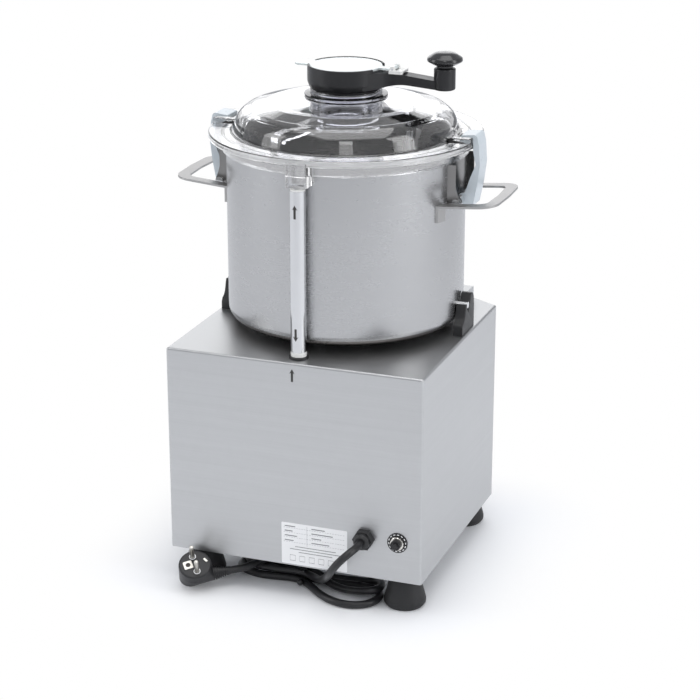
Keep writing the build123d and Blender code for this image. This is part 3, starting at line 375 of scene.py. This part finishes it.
def ground_steel(
    name, colour, roughness, stretch, lines=0.5, smudge=0.3, axis=None, brush=0.0, depth=0.00003,
):
    """Steel with grinding lines. With an axis the lines run round that upright axis."""
    material = bpy.data.materials.new(name)
    tree, output = nodes_of(material)
    here = place(tree, "ShaderNodeTexCoord", -1300, 0).outputs["Object"]
    along = round_axis(tree, here, axis) if axis else here
    pull = place(tree, "ShaderNodeMapping", -200, 250, Vector=along, Scale=stretch)
    grain = place_group(
        tree, ground_lines, 0, 100,
        Along=pull.outputs[0], Place=here, Lines=lines, Smudge=smudge,
    )
    tone_share = scaled(tree, grain["Tone"], 0.9, 0.5, 200, 350)
    tone = colour_between(
        tree, tone_share, shade_of(colour, 0.84), shade_of(colour, 1.12), 400, 250,
    )
    dull = scaled(tree, grain["Tone"], 0.16, roughness, 200, 0)
    shader = surface(
        tree, output, tone, dull, grain["Height"], 0.5, depth, -200,
        Metallic=1.0, Anisotropic=brush,
    )
    if brush > 0:
        tangent = place(tree, "ShaderNodeTangent", 350, -400)
        tangent.direction_type = "RADIAL"
        tangent.axis = "Z"
        tree.links.new(tangent.outputs[0], shader.inputs["Tangent"])
    return material


housing_steel = ground_steel(
    "housing_steel", (0.535, 0.54, 0.545), 0.40, (9, 9, 700), lines=0.42, smudge=0.22,
)
dress(housing_steel, "housing", "control_hood")
inner_steel = ground_steel("base_steel", (0.52, 0.53, 0.54), 0.45, (300, 9, 9), smudge=0.5)
dress(inner_steel, "base_plate", "motor_frame")

# ------------------------------------------------------------------ rating plate and arrows
# White foil sticker with ruled rows, bare of any wording, and three printed arrows: two on
# the interlock tube and one on the housing below it.
moulded_skin, given, result = new_group(
    "moulded_skin",
    (("Place", "NodeSocketVector"), ("Scale", "NodeSocketFloat")),
    ("Mottle", "Skin"),
)
mottle = noise(moulded_skin, given["Place"], -450, 150, given["Scale"], 5.0, 0.6)
closer = compute(moulded_skin, "ShaderNodeMath", "MULTIPLY", -700, -200, given["Scale"], 14.0)
skin = noise(moulded_skin, given["Place"], -450, -200, closer.outputs[0], 2.0, 0.5)
moulded_skin.links.new(mottle, result["Mottle"])
moulded_skin.links.new(skin, result["Skin"])


def plain_finish(
    name, colour, roughness, metallic=0.0, coat=0.0, speck=0.06, scale=160.0, bump=0.00002,
    **values,
):
    """Moulded or coated finish: faint mottling in its colour, gloss and skin."""
    material = bpy.data.materials.new(name)
    tree, output = nodes_of(material)
    here = place(tree, "ShaderNodeTexCoord", -700, 0).outputs["Object"]
    moulded = place_group(tree, moulded_skin, -450, 0, Place=here, Scale=scale)
    low, high = shade_of(colour, 1 - 2.5 * speck), shade_of(colour, 1 + 2.5 * speck)
    tone = colour_between(tree, moulded["Mottle"], low, high, 300, 200)
    dull = scaled(tree, moulded["Mottle"], 0.25, roughness - 0.125, -100, 0)
    surface(
        tree, output, tone, dull, moulded["Skin"], 0.6, bump, -250,
        Metallic=metallic, Coat_Weight=coat, Coat_Roughness=0.12, **values,
    )
    return material


merge_distance = 1e-6
sharp_angle = math.radians(35)


def piece(name, bm, material, body, smooth=True):
    """Turn a finished bmesh into a piece that rides on a body."""
    bmesh.ops.remove_doubles(bm, verts=bm.verts, dist=merge_distance)
    bmesh.ops.recalc_face_normals(bm, faces=bm.faces)
    mesh = bpy.data.meshes.new(name)
    bm.to_mesh(mesh)
    bm.free()
    mesh.materials.append(material)
    part = bpy.data.objects.new(name, mesh)
    scene.collection.objects.link(part)
    if smooth:
        mesh.shade_smooth()
        mesh.set_sharp_from_angle(angle=sharp_angle)
    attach(part, body)
    return part


def raise_faces(bm, faces, shift):
    """Extrude faces along a shift into a closed solid."""
    pushed = bmesh.ops.extrude_face_region(bm, geom=faces)["geom"]
    moved = [v for v in pushed if isinstance(v, bmesh.types.BMVert)]
    bmesh.ops.translate(bm, vec=shift, verts=moved)


foil_white = plain_finish("foil_white", (0.88, 0.885, 0.89), 0.35, scale=60, speck=0.01)
nylon_white = plain_finish("nylon_white", (0.80, 0.80, 0.78), 0.35, speck=0.02)
ink_grey = plain_finish("ink_grey", (0.16, 0.16, 0.17), 0.5, scale=300, speck=0.1)
ink_black = plain_finish("ink_black", (0.035, 0.033, 0.03), 0.5, scale=300, speck=0.1)
rear_y = 0.1465
foil_thickness = 0.00016
ink_thickness = 0.00004
ink_y = rear_y + foil_thickness


def sticker(bm, x_range, z_range, y, thickness, corner=0.0):
    """Thin plate standing on the rear face at y, its outer face towards +Y."""
    (left, right), (low, high) = x_range, z_range
    corners = [(left, low), (right, low), (right, high), (left, high)]
    face = bm.faces.new([bm.verts.new((x, y, z)) for x, z in corners])
    if corner > 0:
        bmesh.ops.bevel(
            bm, geom=list(face.verts), offset=corner, affect="VERTICES",
            segments=4, profile=0.5, material=-1,
        )
        face = max(bm.faces, key=lambda f: f.calc_area())
    raise_faces(bm, [face], (0, thickness, 0))


def ink_bar(bm, start, width, z, half_height):
    """Printed bar on the foil that runs from its start towards -X."""
    z_range = (z - half_height, z + half_height)
    sticker(bm, (start - width, start), z_range, ink_y, ink_thickness)


bm = bmesh.new()
sticker(bm, (-0.0606, 0.0135), (0.0395, 0.0868), rear_y, foil_thickness, corner=0.0012)
piece("rating_plate", bm, foil_white, "base", smooth=False)

bm = bmesh.new()
dash_pitch, dash_width, dash_count = 0.0029, 0.0019, 24
for z in (0.0812, 0.0758, 0.0704, 0.0650):
    for step in range(dash_count):
        ink_bar(bm, 0.0112 - step * dash_pitch, dash_width, z, 0.00012)
sticker(bm, (-0.01555, -0.01530), (0.0620, 0.0850), ink_y, ink_thickness)
first_row, row_pitch, row_half_height = 0.0830, 0.0054, 0.0005
columns = ((0.0098, (0.012, 0.009, 0.014, 0.010)), (-0.0205, (0.015, 0.024, 0.011, 0.020)))
for start, widths in columns:
    for row, width in enumerate(widths):
        ink_bar(bm, start, width, first_row - row * row_pitch, row_half_height)
first_line, line_pitch, line_half_height = 0.0602, 0.0031, 0.00035
for row, (start, width) in enumerate(((-0.002, 0.046), (0.004, 0.058), (-0.006, 0.038))):
    ink_bar(bm, start, width, first_line - row * line_pitch, line_half_height)
box_pitch, box_width, box_stroke = 0.0108, 0.0060, 0.0002
box_heights = (0.0437, 0.0499)
for index in range(5):
    x = 0.0040 - index * box_pitch
    for z in box_heights:
        ink_bar(bm, x, box_width + box_stroke, z, box_stroke)
    for edge in (x, x - box_width):
        sticker(bm, (edge - box_stroke, edge), box_heights, ink_y, ink_thickness)
piece("rating_plate_rules", bm, ink_grey, "base", smooth=False)

tube_y = 0.127
tube_radius = 0.0083
head_length = 0.0052
head_half_width = 0.0030
shaft_half_width = 0.0012
barb_half_width = 0.0013
arrow_lift = 0.00002
arrow_thickness = 0.00008


def arrow(name, z_low, z_high, up, on_tube, body):
    """Printed arrow facing +Y, wrapped round the tube or flat on the housing."""
    bm = bmesh.new()
    tip, tail = (z_high, z_low) if up else (z_low, z_high)
    sign = 1 if up else -1
    ears = tip - sign * head_length
    barbs = tip - sign * head_length * 0.82
    outline = [
        (0, tip), (head_half_width, ears), (barb_half_width, barbs), (shaft_half_width, tail),
        (-shaft_half_width, tail), (-barb_half_width, barbs), (-head_half_width, ears),
    ]
    bm.faces.new([bm.verts.new((x, 0, z)) for x, z in outline])
    bm.normal_update()
    bmesh.ops.triangulate(bm, faces=bm.faces)
    bmesh.ops.subdivide_edges(bm, edges=bm.edges, cuts=3, use_grid_fill=True)
    for vert in bm.verts:
        out = math.sqrt(tube_radius**2 - vert.co.x**2) + tube_y if on_tube else rear_y
        vert.co.y = out + arrow_lift
    raise_faces(bm, bm.faces[:], (0, arrow_thickness, 0))
    piece(name, bm, ink_black, body, smooth=False)


arrow("arrow_tube_up", 0.4166, 0.4310, True, True, "bowl_unit")
arrow("arrow_tube_down", 0.2860, 0.2995, False, True, "bowl_unit")
arrow("arrow_housing_up", 0.2458, 0.2598, True, False, "base")

# ------------------------------------------------------------------ mains plug
# Angled two-pin plug moulded on the lead: a round face on a wedge-shaped back, a ribbed
# strain relief, a metal earth socket between the pins and an earth clip at the side.
plug_place = Vector((0.1075, 0.1625, 0.0213))
plug_face = Vector((-0.189, 0.511, 0.839)).normalized()
plug_side = Vector((-0.938, -0.347, 0.0)).normalized()
plug_rise = plug_face.cross(plug_side).normalized()
plug_mouth = Vector((0.0746, 0.1418, 0.0181))
plug_heel = Vector((0.1140, 0.1590, 0.0076))


def on_plug(side, rise, out):
    """Point by its distances across the plug's face, up it and out of it."""
    return plug_place + plug_side * side + plug_rise * rise + plug_face * out


def turned_to(middle, direction):
    """Matrix that stands a Z axis on a point, along a direction."""
    return Matrix.Translation(middle) @ direction.to_track_quat("Z", "Y").to_matrix().to_4x4()


def ring_of(bm, radius, matrix, segments=48):
    """Open ring of vertices, in order."""
    return bmesh.ops.create_circle(bm, segments=segments, radius=radius, matrix=matrix)["verts"]


def edges_of(verts):
    """Edges that end on some vertices, each once."""
    return list({edge for vert in verts for edge in vert.link_edges})


neck_start = on_plug(0.0185, 0.0005, -0.0060)
neck_line = (plug_mouth - neck_start).normalized()
neck_length = (plug_mouth - neck_start).length
bm = bmesh.new()
for radius, side, rise, out in (
    (0.0166, 0, 0, 0.0130), (0.0176, 0, 0, 0.0118), (0.0178, 0, 0, 0.0020),
    (0.0120, -0.0060, -0.0020, -0.0105), (0.0085, -0.0055, -0.0030, -0.0125),
):
    ring_of(bm, radius, turned_to(on_plug(side, rise, out), plug_face))
heel_place = Matrix.Translation(plug_heel)
bmesh.ops.create_icosphere(bm, subdivisions=3, radius=0.0060, matrix=heel_place)
ring_of(bm, 0.0078, turned_to(neck_start, neck_line))
bmesh.ops.convex_hull(bm, input=bm.verts)
buried = [v for v in bm.verts if not v.link_faces]
bmesh.ops.delete(bm, geom=buried, context="VERTS")
plug_shell = piece("plug_shell", bm, sheath, "base")
rounding = plug_shell.modifiers.new("rounding", "REMESH")
rounding.mode = "VOXEL"
rounding.voxel_size = 0.0007
rounding.use_smooth_shade = True
easing = plug_shell.modifiers.new("easing", "SMOOTH")
easing.iterations = 5

rib_pitch = 0.0024
rib_depth = 0.0011
rib_taper = 0.00056
bm = bmesh.new()
profile = [(0.0, -0.004), (0.0077, -0.004), (0.0077, 0.001)]
for rib in range(6):
    low = 0.0015 + rib * rib_pitch
    radius = 0.0076 - rib * rib_taper
    profile += [
        (radius - rib_depth, low), (radius - rib_depth, low + 0.0007),
        (radius, low + 0.0009), (radius, low + 0.0022),
    ]
profile += [(0.0045, neck_length - 0.001), (0.0040, neck_length), (0.0, neck_length)]
line = [bm.verts.new((radius, 0, along)) for radius, along in profile]
edges = [bm.edges.new(pair) for pair in zip(line, line[1:])]
bmesh.ops.spin(
    bm, geom=line + edges, cent=(0, 0, 0), axis=(0, 0, 1), angle=math.tau, steps=40,
    use_merge=True,
)
bmesh.ops.transform(bm, matrix=turned_to(neck_start, neck_line), verts=bm.verts)
plug_neck = piece("plug_neck", bm, sheath, "base")

plated = ground_steel("plated_contact", (0.66, 0.64, 0.59), 0.32, (300, 300, 300), 0.2, 0.3)
# Painted shade: a near-black brownish finish for the disc that stands for the shaded depth of the
# earth socket's bore.
hole_painted_shade = plain_finish("hole_painted_shade", (0.03, 0.022, 0.018), 0.5, speck=0.1)
pin_side, pin_rise = 0.00285, 0.00906
collar_radius, collar_bore, collar_height = 0.0037, 0.0029, 0.0006
bm = bmesh.new()
for sign in (-1, 1):
    matrix = turned_to(on_plug(sign * pin_side, -sign * pin_rise, 0.0129), plug_face)
    rims = ring_of(bm, collar_radius, matrix, 32) + ring_of(bm, collar_bore, matrix, 32)
    band = bmesh.ops.bridge_loops(bm, edges=edges_of(rims))["faces"]
    raise_faces(bm, band, plug_face * collar_height)
pin_collars = piece("pin_collars", bm, foil_white, "base")

earth_side, earth_rise = -0.0071, -0.0016
plate_reach, plate_corner, plate_height, plate_bore = 0.0068, 0.0012, 0.0008, 0.0027
plate_turn = Matrix.Rotation(math.radians(64), 4, "Z")
clip_turn = Matrix.Rotation(math.radians(44), 4, "Z")
clip_thickness = 0.0016
bm = bmesh.new()
plate = turned_to(on_plug(earth_side, earth_rise, 0.0128), plug_face)
face = bm.faces.new(ring_of(bm, plate_reach, plate @ plate_turn, 4))
bmesh.ops.bevel(
    bm, geom=list(face.verts), offset=plate_corner, affect="VERTICES",
    segments=3, profile=0.5, material=-1,
)
face = bm.faces[:][0]
edges = edges_of(ring_of(bm, plate_bore, plate, 16)) + list(face.edges)
bmesh.ops.delete(bm, geom=[face], context="FACES_ONLY")
band = bmesh.ops.bridge_loops(bm, edges=edges)["faces"]
raise_faces(bm, band, plug_face * plate_height)
for side, rise, out, width, height in (
    (0.0112, 0.0048, 0.0131, 0.0022, 0.0052), (0.0136, 0.0060, 0.0105, 0.0012, 0.0060),
):
    clip = bmesh.ops.create_cube(bm, size=1.0)["verts"]
    bmesh.ops.scale(bm, vec=(width, height, clip_thickness), verts=clip)
    seat = turned_to(on_plug(side, rise, out), plug_face) @ clip_turn
    bmesh.ops.transform(bm, matrix=seat, verts=clip)
earth_contacts = piece("earth_contacts", bm, plated, "base")

# Flat dark disc laid in the earth plate's bore: painted shade in place of a real hole.
hole_radius, hole_height = 0.0028, 0.0002
bm = bmesh.new()
hole_place = turned_to(on_plug(earth_side, earth_rise, 0.0132), plug_face)
hole = ring_of(bm, hole_radius, hole_place, 16)
raise_faces(bm, [bm.faces.new(hole)], plug_face * hole_height)
earth_hole_shade_disc = piece("earth_hole_shade_disc", bm, hole_painted_shade, "base")
dress(plated, "plug_pins")
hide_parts("plug_body")

# ------------------------------------------------------------------ feet
# Four cones moulded in black rubber, screwed up into the housing's bottom. They carry the whole
# machine.
foot_rubber = plain_finish(
    "foot_rubber", (0.013, 0.013, 0.014), 0.55, speck=0.12, scale=120, bump=0.00006,
)
dress(foot_rubber, "foot_rear_left", "foot_rear_right", "foot_front_left", "foot_front_right")

# ------------------------------------------------------------------ controls
# Green start, red stop and black pulse buttons in black panel bodies, and a fluted dial on
# its potentiometer with a plain scale of strokes round it.
black_nylon = plain_finish(
    "black_nylon", (0.012, 0.012, 0.013), 0.42, speck=0.1, scale=140, bump=0.00005,
)
start_green = plain_finish("start_green", (0.02, 0.30, 0.07), 0.28, coat=0.3, speck=0.03)
stop_red = plain_finish("stop_red", (0.52, 0.018, 0.014), 0.28, coat=0.3, speck=0.03)
dress(black_nylon, "control_bodies", "pulse_button", "speed_dial")
dress(start_green, "start_button")
dress(stop_red, "stop_button")


def stroke(bm, size, reach, angle, middle):
    """Small bar at a distance from a middle, turned about the Y axis through it."""
    bar = bmesh.ops.create_cube(bm, size=1.0)["verts"]
    bmesh.ops.scale(bm, vec=size, verts=bar)
    bmesh.ops.translate(bm, vec=(0, 0, reach), verts=bar)
    bmesh.ops.rotate(bm, cent=(0, 0, 0), matrix=Matrix.Rotation(angle, 3, "Y"), verts=bar)
    bmesh.ops.translate(bm, vec=middle, verts=bar)


panel_y = -0.130
dial_middle = (-0.072, panel_y - 0.00006, 0.230)
scale_inner = 0.0200
bm = bmesh.new()
for step in range(11):
    outer = 0.0235 if step % 5 else 0.0245
    size = (0.0007, 0.00016, outer - scale_inner)
    angle = math.radians(-135 + step * 27)
    stroke(bm, size, (outer + scale_inner) / 2, angle, dial_middle)
piece("dial_scale", bm, ink_black, "base", smooth=False)

# ------------------------------------------------------------------ motor and electrics
# Induction motor hung under the top on four posts, with its fan below and the speed
# controller beside it. All of it is closed in by the housing.
cast_alloy = plain_finish(
    "cast_alloy", (0.52, 0.53, 0.54), 0.5, metallic=0.9, scale=400, bump=0.0002,
)
wound_iron = plain_finish("wound_iron", (0.22, 0.16, 0.12), 0.45, metallic=0.6, scale=500)
board_green = plain_finish("board_green", (0.03, 0.17, 0.07), 0.35, scale=250)
bright_steel = ground_steel(
    "bright_steel", (0.74, 0.745, 0.75), 0.16, (60, 60, 60), lines=0.2, smudge=0.25,
)
dress(cast_alloy, "motor_case")
dress(wound_iron, "stator", "rotor")
dress(board_green, "circuit_board")
dress(bright_steel, "bearings", "shaft", "drive_boss")
dress(black_nylon, "fan")

# ------------------------------------------------------------------ interlock
# Polished tube welded beside the bowl, with a rod inside that the lid presses down onto a
# switch pin under the black ring in the housing's top.
polished_tube = ground_steel(
    "polished_tube", (0.62, 0.625, 0.635), 0.10, (400, 400, 12), 0.35, 0.25, depth=0.00001,
)
dress(polished_tube, "interlock_tube", "push_rod")
dress(nylon_white, "tube_bushes", "switch_plunger")
dress(black_nylon, "rod_seat", "interlock_switch")
dress(bright_steel, "springs")

# ------------------------------------------------------------------ bowl
# Deep-drawn stainless bowl, ground round its wall, with two flat-bar handles whose ends are
# turned down and welded on, steel latch brackets, and studs that drop into black guides.
bowl_y = -0.0145
inside_radius = 0.1270
# Painted shade: within 127 mm of the bowl's axis its steel is coloured dark brownish grey, for the
# shade that falls in the bowl under the lid.
painted_shade_colour = (0.20, 0.19, 0.185, 1)
bowl_steel = ground_steel(
    "bowl_steel", (0.462, 0.463, 0.468), 0.27, (60, 60, 1100), lines=0.15, smudge=0.13,
    axis=(0, bowl_y), brush=0.55,
)
# The base colour below switches to the painted shade colour wherever a point lies inside the
# bowl's inner radius.
tree = bowl_steel.node_tree
shader = tree.nodes["Principled BSDF"]
here = place(tree, "ShaderNodeTexCoord", -400, 700).outputs["Object"]
middle = place(
    tree, "ShaderNodeMapping", -200, 700,
    Vector=here, Location=(0, -bowl_y, 0), Scale=(1, 1, 0),
)
reach = compute(tree, "ShaderNodeVectorMath", "LENGTH", 0, 700, middle.outputs[0])
inside = compute(
    tree, "ShaderNodeMath", "LESS_THAN", 180, 700, reach.outputs["Value"], inside_radius,
)
wall_colour = shader.inputs["Base Color"].links[0].from_socket
tone = colour_between(tree, inside.outputs[0], wall_colour, painted_shade_colour, 400, 600)
tree.links.new(tone, shader.inputs["Base Color"])
dress(bowl_steel, "bowl")
handle_steel = ground_steel("handle_steel", (0.43, 0.425, 0.42), 0.42, (40, 400, 400), 0.4, 0.3)
dress(handle_steel, "handles")
# Painted shade: the latch brackets' steel is dark grey and heavily smudged, standing for the
# shadow that falls beside the bowl there.
bracket_steel_painted_shade = ground_steel(
    "bracket_steel_painted_shade", (0.24, 0.235, 0.23), 0.24, (30, 30, 500), lines=0.5, smudge=0.9,
)
dress(bracket_steel_painted_shade, "latch_brackets")
dress(bright_steel, "latch_pins", "bowl_pins")

guide_profile = [
    (20.5, 266.0), (20.5, 276.0), (18.8, 278.6), (15.0, 280.6), (12.2, 284.0),
    (10.4, 289.0), (8.9, 294.6), (7.4, 297.4), (5.8, 297.4), (1.6, 289.4),
    (0.6, 287.6), (-0.6, 287.6), (-1.6, 289.4), (-8.6, 304.6), (-10.2, 306.0),
    (-14.5, 305.6), (-18.0, 303.4), (-20.0, 299.8), (-20.5, 295.0), (-20.5, 266.0),
]
guide_inner = 0.1284
guide_outer = 0.1393
guide_foot = 0.2661
bm = bmesh.new()
for side in (1, -1):
    inner, outer = guide_inner * side, guide_outer * side
    ring = [bm.verts.new((inner, bowl_y + y / 1000, z / 1000)) for y, z in guide_profile]
    face = bm.faces.new(ring)
    bm.normal_update()
    raise_faces(bm, [face], (outer - inner, 0, 0))
    rim = [
        e for e in bm.edges
        if all(abs(v.co.x - outer) < 1e-5 and v.co.z > guide_foot for v in e.verts)
    ]
    bmesh.ops.bevel(
        bm, geom=rim, offset=0.0024, affect="EDGES", segments=4, profile=0.5, material=-1,
        clamp_overlap=True,
    )
guides = piece("guide_blocks", bm, black_nylon, "base")
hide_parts("bowl_guides")

# ------------------------------------------------------------------ latches
# Two levers moulded in pale blue-grey plastic, one on each side of the bowl. They swing on
# steel pins in the bowl's brackets, and their hooks ride up the lid's catch ramps.
latch_plastic = plain_finish("latch_plastic", (0.56, 0.615, 0.655), 0.32, coat=0.15, speck=0.02)
dress(latch_plastic, "latch_left", "latch_right")

# ------------------------------------------------------------------ blades
# Two ground sickle blades clamped on a white moulded hub, which drops over the shaft and
# turns with it.
blade_steel = ground_steel("blade_steel", (0.72, 0.725, 0.73), 0.2, (500, 30, 30), 0.5, 0.3)
dress(blade_steel, "blades")
dress(nylon_white, "blade_hub", "blade_clamp")

# ------------------------------------------------------------------ lid
# Domed lid and bearing neck moulded in clear polycarbonate. The lid sits on a pale silicone
# ring, and the neck carries the clear scraper arms with their silicone blades.
clear_skin, given, result = new_group(
    "clear_skin", (("Place", "NodeSocketVector"),), ("Wave", "Haze"),
)
wave = noise(clear_skin, given["Place"], -350, -150, 26.0, 2.0, 0.5)
haze = noise(clear_skin, given["Place"], -350, 150, 60.0, 4.0, 0.6)
clear_skin.links.new(wave, result["Wave"])
clear_skin.links.new(haze, result["Haze"])
polycarbonate_index = 1.585


def clear_plastic(name, colour, roughness, ripple):
    """Clear moulded plastic with a slightly wavy skin."""
    material = bpy.data.materials.new(name)
    tree, output = nodes_of(material)
    here = place(tree, "ShaderNodeTexCoord", -600, 0).outputs["Object"]
    skin = place_group(tree, clear_skin, -350, 0, Place=here)
    dull = scaled(tree, skin["Haze"], 0.05, roughness, -100, 150)
    surface(
        tree, output, colour + (1,), dull, skin["Wave"], ripple, 0.0006, -250,
        Metallic=0.0, IOR=polycarbonate_index, Transmission_Weight=1.0,
    )
    return material


lid_clear = clear_plastic("lid_clear", (0.985, 0.988, 1.0), 0.0, 0.10)
neck_clear = clear_plastic("neck_clear", (0.90, 0.905, 0.94), 0.03, 0.15)
silicone = plain_finish("silicone", (0.88, 0.885, 0.89), 0.45, speck=0.015)
dress(lid_clear, "lid")
dress(neck_clear, "collar", "scraper_carrier")
dress(silicone, "lid_gasket", "scraper_blades")

# ------------------------------------------------------------------ crank
# Black nylon hub, arm and mushroom grip; a milky cover on the feed hole is hinged in a
# white clip on the arm, between two low rims on the hub's cup.
crank_black = plain_finish(
    "crank_black", (0.009, 0.009, 0.0105), 0.36, speck=0.1, scale=120, bump=0.00004,
)
grip_black = plain_finish(
    "grip_black", (0.014, 0.014, 0.015), 0.2, coat=0.3, speck=0.08, scale=120,
)
flap_milky = plain_finish(
    "flap_milky", (0.84, 0.90, 0.90), 0.22, coat=0.2, speck=0.01, Transmission_Weight=0.35,
)
dress(crank_black, "crank")
dress(grip_black, "grip")
dress(bright_steel, "crank_pins")
dress(flap_milky, "flap")

cup_top = 0.5434
rim_section = [
    (0.0389, -0.0020), (0.0389, 0.0022), (0.0394, 0.0026),
    (0.0402, 0.0026), (0.0409, 0.0020), (0.0410, -0.0020),
]
bm = bmesh.new()
for start, sweep in ((15, 138), (-15, -138)):
    ring = [bm.verts.new((radius, 0, cup_top + rise)) for radius, rise in rim_section]
    wall = bm.faces.new(ring)
    begun = Matrix.Rotation(math.radians(start), 3, "Z")
    bmesh.ops.rotate(bm, cent=(0, 0, 0), matrix=begun, verts=ring)
    bmesh.ops.spin(
        bm, geom=[wall], cent=(0, 0, 0), axis=(0, 0, 1), angle=math.radians(sweep), steps=46,
        use_duplicate=False,
    )
bmesh.ops.translate(bm, vec=(0, bowl_y, 0), verts=bm.verts)
piece("crank_rim", bm, crank_black, "crank_unit")

clip_foot = 0.5412
bm = bmesh.new()
bm.from_mesh(cad["flap_clip"].data)
bmesh.ops.remove_doubles(bm, verts=bm.verts, dist=merge_distance)
bmesh.ops.bisect_plane(
    bm, geom=bm.verts[:] + bm.edges[:] + bm.faces[:], plane_co=(0, 0, clip_foot),
    plane_no=(0, 0, 1), clear_inner=True,
)
bmesh.ops.holes_fill(bm, edges=[e for e in bm.edges if e.is_boundary], sides=0)
hinge_clip = piece("hinge_clip", bm, nylon_white, "crank_unit")
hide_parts("flap_clip")

# ------------------------------------------------------------------ rear fittings
# Black cable gland with its lock nut, and a reset cut-out: black dial plate, knurled nut and
# black button.
dress(black_nylon, "gland", "breaker", "breaker_button")
nickel = ground_steel("nickel", (0.70, 0.68, 0.64), 0.2, (200, 200, 200), 0.3, 0.3)
dress(nickel, "breaker_nut")
mark_count = 14
mark_size = (0.0022, 0.00012, 0.0009)
mark_radius = 0.0094
breaker_middle = (-0.1163, rear_y + 0.00104, 0.0825)
bm = bmesh.new()
for step in range(mark_count):
    angle = math.radians(20 + step * 360 / mark_count)
    stroke(bm, mark_size, mark_radius, angle, breaker_middle)
piece("breaker_dial_marks", bm, foil_white, "base", smooth=False)
